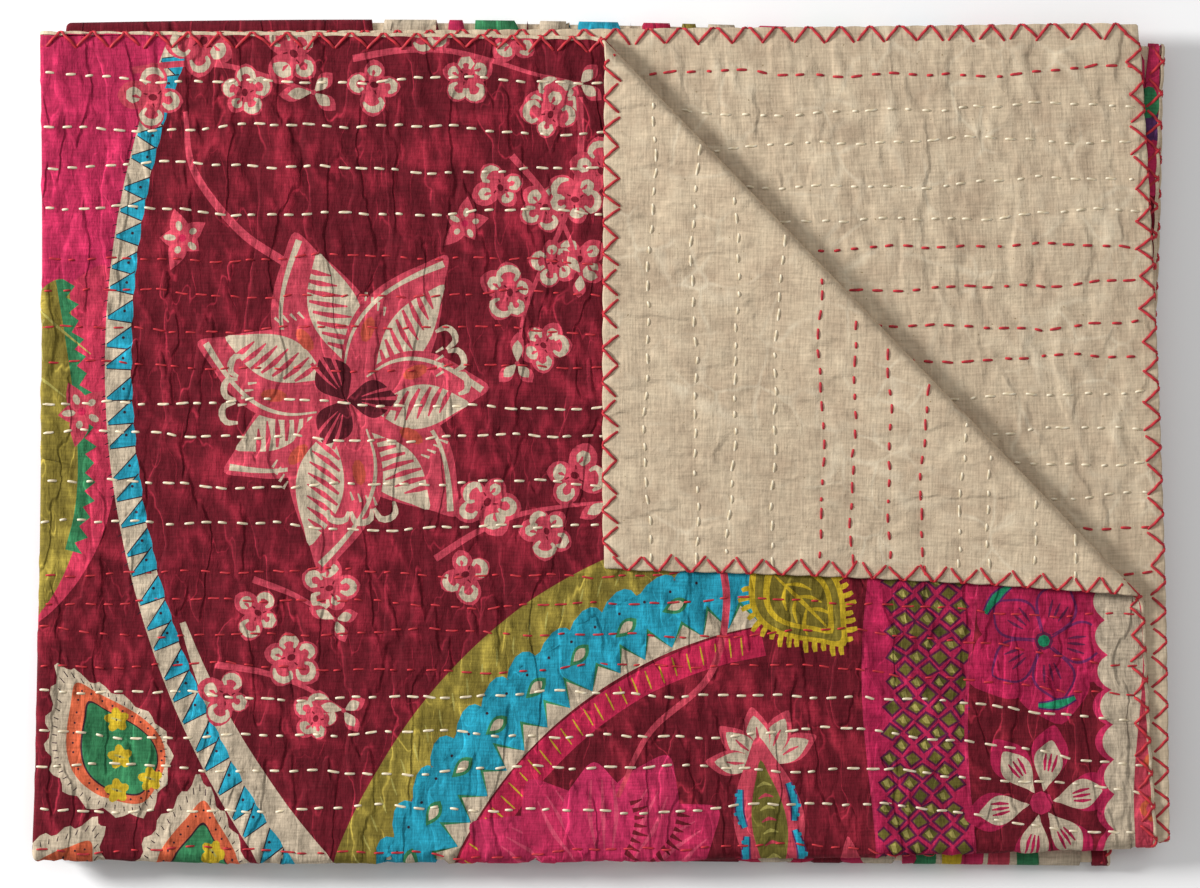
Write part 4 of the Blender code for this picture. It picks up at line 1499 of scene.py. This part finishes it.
# ---- materials ------------------------------------------------------------------------------------
class Finish:
    """A material being made: its node tree and the shader that everything leads to."""

    def __init__(self, name, roughness, specular):
        self.material = bpy.data.materials.new(name)
        self.material.use_nodes = True
        self.tree = self.material.node_tree
        self.shader = self.tree.nodes["Principled BSDF"]
        self.shader.inputs["Roughness"].default_value = roughness
        self.shader.inputs["Specular IOR Level"].default_value = specular

    def add(self, kind, links=None, values=None, **settings):
        """One node, with its settings, socket values and the sockets that lead into it."""
        node = self.tree.nodes.new(kind)
        for key, value in settings.items():
            setattr(node, key, value)
        for key, value in (values or {}).items():
            node.inputs[key].default_value = value
        for key, socket in (links or {}).items():
            self.tree.links.new(socket, node.inputs[key])
        return node

    def lead(self, socket, name):
        self.tree.links.new(socket, self.shader.inputs[name])


def per_metre(size_mm):
    return 1000.0 / size_mm


def cloth_noise(cloth, plan, size, detail, roughness=0.5, output="Fac"):
    """Noise over the flat cloth, its grain size in millimetres."""
    values = {"Scale": per_metre(size), "Detail": detail, "Roughness": roughness}
    return cloth.add("ShaderNodeTexNoise", {"Vector": plan}, values).outputs[output]


def drawn_out(cloth, plan, scale, degrees=0.0):
    """The cloth's plan, turned and stretched, so that what lies on it runs long one way."""
    values = {"Rotation": (0, 0, math.radians(degrees)), "Scale": (*scale, 1.0)}
    return cloth.add("ShaderNodeMapping", {"Vector": plan}, values).outputs[0]


def spread(cloth, value, low, high, to_low=0.0, to_high=1.0, **settings):
    values = {"From Min": low, "From Max": high, "To Min": to_low, "To Max": to_high}
    return cloth.add("ShaderNodeMapRange", {"Value": value}, values, **settings).outputs[0]


def maths(cloth, operation, a, b, **settings):
    """b is a socket or a number."""
    numbers = {1: b} if isinstance(b, float) else {}
    links = {0: a} if numbers else {0: a, 1: b}
    return cloth.add("ShaderNodeMath", links, numbers, operation=operation, **settings).outputs[0]


def woven_threads(cloth, plan, weft, warp):
    """Slubs along and across; weft and warp are their thickness in millimetres and their squeeze."""
    along = cloth_noise(cloth, drawn_out(cloth, plan, (weft[1], 1.0)), weft[0], 2.0)
    across = cloth_noise(cloth, drawn_out(cloth, plan, (1.0, warp[1])), warp[0], 2.0)
    return maths(cloth, "ADD", along, across)


def wavering(cloth, plan, size, share):
    shift = cloth_noise(cloth, plan, size, 3.0, output="Color")
    return cloth.add("ShaderNodeMixRGB", {"Color1": plan, "Color2": shift}, {"Fac": share}).outputs[0]


def raised(cloth, *layers):
    """Bumps one over another, each as height, strength and distance."""
    under = {}
    for height, strength, distance in layers:
        values = {"Strength": strength, "Distance": distance}
        bump = cloth.add("ShaderNodeBump", {"Height": height, **under}, values)
        under = {"Normal": bump.outputs[0]}
    cloth.lead(bump.outputs[0], "Normal")


def hand_screened_cotton():
    """Matt, the dye uneven, bright crackle where the dark ground was crumpled, faded on the ridges and
    painted lighter there as a highlight.
    """
    cotton = Finish("printed_cotton", 0.88, 0.12)
    plan = cotton.add("ShaderNodeUVMap", uv_map="ClothPlan").outputs[0]
    dye = cotton.add("ShaderNodeAttribute", attribute_name="dye").outputs["Color"]
    ground = cotton.add("ShaderNodeAttribute", attribute_name="ground").outputs["Fac"]
    ridge_wear_and_highlight = cotton.add("ShaderNodeAttribute", attribute_name="ridge_wear_and_highlight").outputs["Fac"]
    blotch = cloth_noise(cotton, plan, 17, 6.0, 0.66)
    # Threads 0.5 mm apart are too fine to see from here; slubs about 1 mm thick are what shows.
    threads = woven_threads(cotton, plan, (1.3, 0.10), (1.2, 0.10))
    bent = wavering(cotton, plan, 30, 0.009)

    # Sharp creases, 8 to 20 mm apart and a few times as long, run where a slow noise passes its
    # middle, and finer crackle crosses them the other way.
    slow = cloth_noise(cotton, drawn_out(cotton, bent, (1.0, 0.24), -17), 19, 1.6)
    from_middle = maths(cotton, "SUBTRACT", slow, 0.5)
    aside = cotton.add("ShaderNodeMath", {0: from_middle}, operation="ABSOLUTE").outputs[0]
    line = spread(cotton, aside, 0.0, 0.013, 1.0, 0.0)
    slow = cloth_noise(cotton, drawn_out(cotton, bent, (1.0, 0.30), 34), 23, 2.0)
    beside = maths(cotton, "SUBTRACT", slow, 0.5)
    beside = cotton.add("ShaderNodeMath", {0: beside}, operation="ABSOLUTE").outputs[0]
    line = maths(cotton, "MAXIMUM", line, spread(cotton, beside, 0.0, 0.009, 0.8, 0.0))
    where = spread(cotton, cloth_noise(cotton, plan, 38, 4.0), 0.40, 0.60)
    crackle = maths(cotton, "MULTIPLY", line, where)
    # Crackle is part of the print; the paler ridges are partly fading and partly a painted highlight.
    crackle_wear_and_highlight = maths(cotton, "MAXIMUM", crackle, ridge_wear_and_highlight, use_clamp=True)

    deep = spread(cotton, blotch, 0.30, 0.70, 0.70, 1.26)
    fine = spread(cotton, threads, 0.70, 1.30, 0.74, 1.24)
    depth = maths(cotton, "MULTIPLY", deep, fine)
    gain = maths(cotton, "MULTIPLY", crackle_wear_and_highlight, spread(cotton, ground, 0.0, 1.0, 0.22, 2.3))
    share = maths(cotton, "MULTIPLY", depth, maths(cotton, "ADD", gain, 1.0))
    coloured = cotton.add("ShaderNodeVectorMath", {0: dye, "Scale": share}, operation="SCALE").outputs[0]
    cotton.lead(coloured, "Base Color")
    crinkle = cloth_noise(cotton, drawn_out(cotton, bent, (1.0, 0.42), -16), 5.5, 4.0, 0.55)
    fold = spread(cotton, from_middle, -0.014, 0.042, interpolation_type="SMOOTHSTEP")
    raised(cotton, (crinkle, 0.75, 0.0020), (fold, 0.9, 0.0016), (threads, 0.35, 0.0004))
    return cotton


def undyed_flax():
    """Plain linen from a hand loom: matt, slubby both ways, darker specks, paler where creased, and paler on
    the ridges, partly from wear and partly as a painted highlight.
    """
    flax = Finish("linen", 0.90, 0.2)
    plan = flax.add("ShaderNodeUVMap", uv_map="ClothPlan").outputs[0]
    ridge_wear_and_highlight = flax.add("ShaderNodeAttribute", attribute_name="ridge_wear_and_highlight").outputs["Fac"]

    def mixed(share, first, second):
        links, values = {"Fac": share}, {}
        for name, colour in (("Color1", first), ("Color2", second)):
            if isinstance(colour, str):
                values[name] = (*linear(colour), 1)
            else:
                links[name] = colour
        return flax.add("ShaderNodeMixRGB", links, values).outputs[0]

    threads = woven_threads(flax, plan, (1.5, 0.08), (1.4, 0.09))
    tone = spread(flax, cloth_noise(flax, plan, 26, 6.0, 0.6), 0.32, 0.68)
    base = mixed(tone, "#b09b82", "#cbb89c")
    fine = spread(flax, threads, 0.68, 1.32, 0.80, 1.18)
    shade = flax.add("ShaderNodeVectorMath", {0: base, "Scale": fine}, operation="SCALE").outputs[0]
    dark = spread(flax, cloth_noise(flax, plan, 2.6, 1.0), 0.735, 0.80)
    specked = mixed(dark, shade, "#8a7658")
    bent = wavering(flax, plan, 36, 0.014)
    cells = flax.add("ShaderNodeTexVoronoi", {"Vector": bent}, {"Scale": per_metre(30)},
                     feature="DISTANCE_TO_EDGE").outputs["Distance"]
    line = spread(flax, cells, 0.0, 0.06, 0.42, 0.0)
    where = spread(flax, cloth_noise(flax, plan, 44, 4.0), 0.45, 0.62)
    creased = maths(flax, "MULTIPLY", line, where)
    # Crease lines and ridges painted paler; on the ridges this is partly wear and partly a painted highlight.
    pale = maths(flax, "ADD", creased, ridge_wear_and_highlight, use_clamp=True)
    flax.lead(mixed(pale, specked, "#ded0b6"), "Base Color")
    crinkle = cloth_noise(flax, bent, 7, 4.0, 0.55)
    slow = cloth_noise(flax, drawn_out(flax, bent, (1.0, 0.42), 52), 21, 1.2)
    fold = spread(flax, slow, 0.44, 0.56, interpolation_type="SMOOTHSTEP")
    raised(flax, (crinkle, 0.5, 0.0018), (fold, 0.55, 0.0016), (threads, 0.5, 0.0005))
    return flax


def embroidery_thread(name, light, dark):
    """Soft six-strand cotton: slightly glossy, with the twist showing as slanting grooves, painted darker
    there as shade.
    """
    floss = Finish(name, 0.62, 0.35)
    plan = floss.add("ShaderNodeUVMap", uv_map="ClothPlan").outputs[0]
    # One turn of the twist in 3 mm of thread; u runs along it in metres, v once round it.
    lean = floss.add("ShaderNodeMapping", {"Vector": plan}, {"Scale": (1.0, 0.006, 1.0)}).outputs[0]
    twist = floss.add("ShaderNodeTexWave", {"Vector": lean}, {"Scale": per_metre(3) / (2 * math.pi) * 2,
                      "Distortion": 0.6, "Detail": 1.0}, bands_direction="DIAGONAL").outputs["Fac"]
    # The twist's grooves are painted in the dark colour as shade, its crests in the light one.
    colour = floss.add("ShaderNodeMixRGB", {"Fac": twist},
                       {"Color1": (*linear(dark), 1), "Color2": (*linear(light), 1)}).outputs[0]
    floss.lead(colour, "Base Color")
    grooves = floss.add("ShaderNodeBump", {"Height": twist}, {"Strength": 0.5, "Distance": 0.0003})
    floss.lead(grooves.outputs[0], "Normal")
    return floss


cream_floss = embroidery_thread("cream_cotton_floss", "#e6d9c0", "#c6b595")
red_floss = embroidery_thread("red_cotton_floss", "#c42a34", "#97202a")
FINISHES = (
    (printed_cotton, hand_screened_cotton()), (linen, undyed_flax()), (cream_stitches, cream_floss),
    (red_on_print, red_floss), (red_on_linen, red_floss), (edging_thread, red_floss),
)
for piece, finish in FINISHES:
    piece.data.materials.append(finish.material)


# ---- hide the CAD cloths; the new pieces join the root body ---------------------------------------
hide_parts("printed_face")
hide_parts("linen_backing")
for piece, slot in ((printed_cotton, "printed_cotton"), (linen, "linen")) + THREAD_SLOTS:
    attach(piece, "root")

# ---- floor, lights and camera ---------------------------------------------------------------------
FLOOR_SIZE = 12.0
bpy.ops.object.select_all(action="DESELECT")
bpy.ops.mesh.primitive_plane_add(size=FLOOR_SIZE, location=(0, 0, 0))
floor = bpy.context.active_object
floor.name = "floor"
floor.location.z = -0.0002
bpy.ops.object.transform_apply(location=True)
paper = Finish("matt_paper", 0.95, 0.1)
paper.shader.inputs["Base Color"].default_value = (*linear("#f6f6f6"), 1)
floor.data.materials.append(paper.material)


def area_light(name, place, size, power, colour="#ffffff"):
    bpy.ops.object.light_add(type="AREA", location=place)
    light = bpy.context.active_object
    light.name = name
    light.data.shape = "DISK"
    light.data.size = size
    light.data.energy = power
    light.data.color = linear(colour)
    light.rotation_euler = (-Vector(place)).to_track_quat("-Z", "Y").to_euler()


area_light("key_light", (-2.8, 0.75, 1.38), 0.8, 142)
area_light("fill_light", (1.6, 1.6, 3.4), 3.0, 30)
world = bpy.data.worlds.new("studio")
world.use_nodes = True
world.node_tree.nodes["Background"].inputs["Color"].default_value = (*linear("#ffffff"), 1)
world.node_tree.nodes["Background"].inputs["Strength"].default_value = 0.40
scene = bpy.context.scene
scene.world = world
scene.view_settings.view_transform = "Standard"

CAMERA_HEIGHT = 3.03
SENSOR = 36.0
VIEW_WIDTH = 0.8148
bpy.ops.object.camera_add(location=(0, 0, CAMERA_HEIGHT), rotation=(0, 0, 0))
camera = bpy.context.active_object
camera.data.sensor_width = SENSOR
camera.data.lens = SENSOR * (CAMERA_HEIGHT - 0.030) / VIEW_WIDTH
camera.data.clip_end = 20
scene.camera = camera
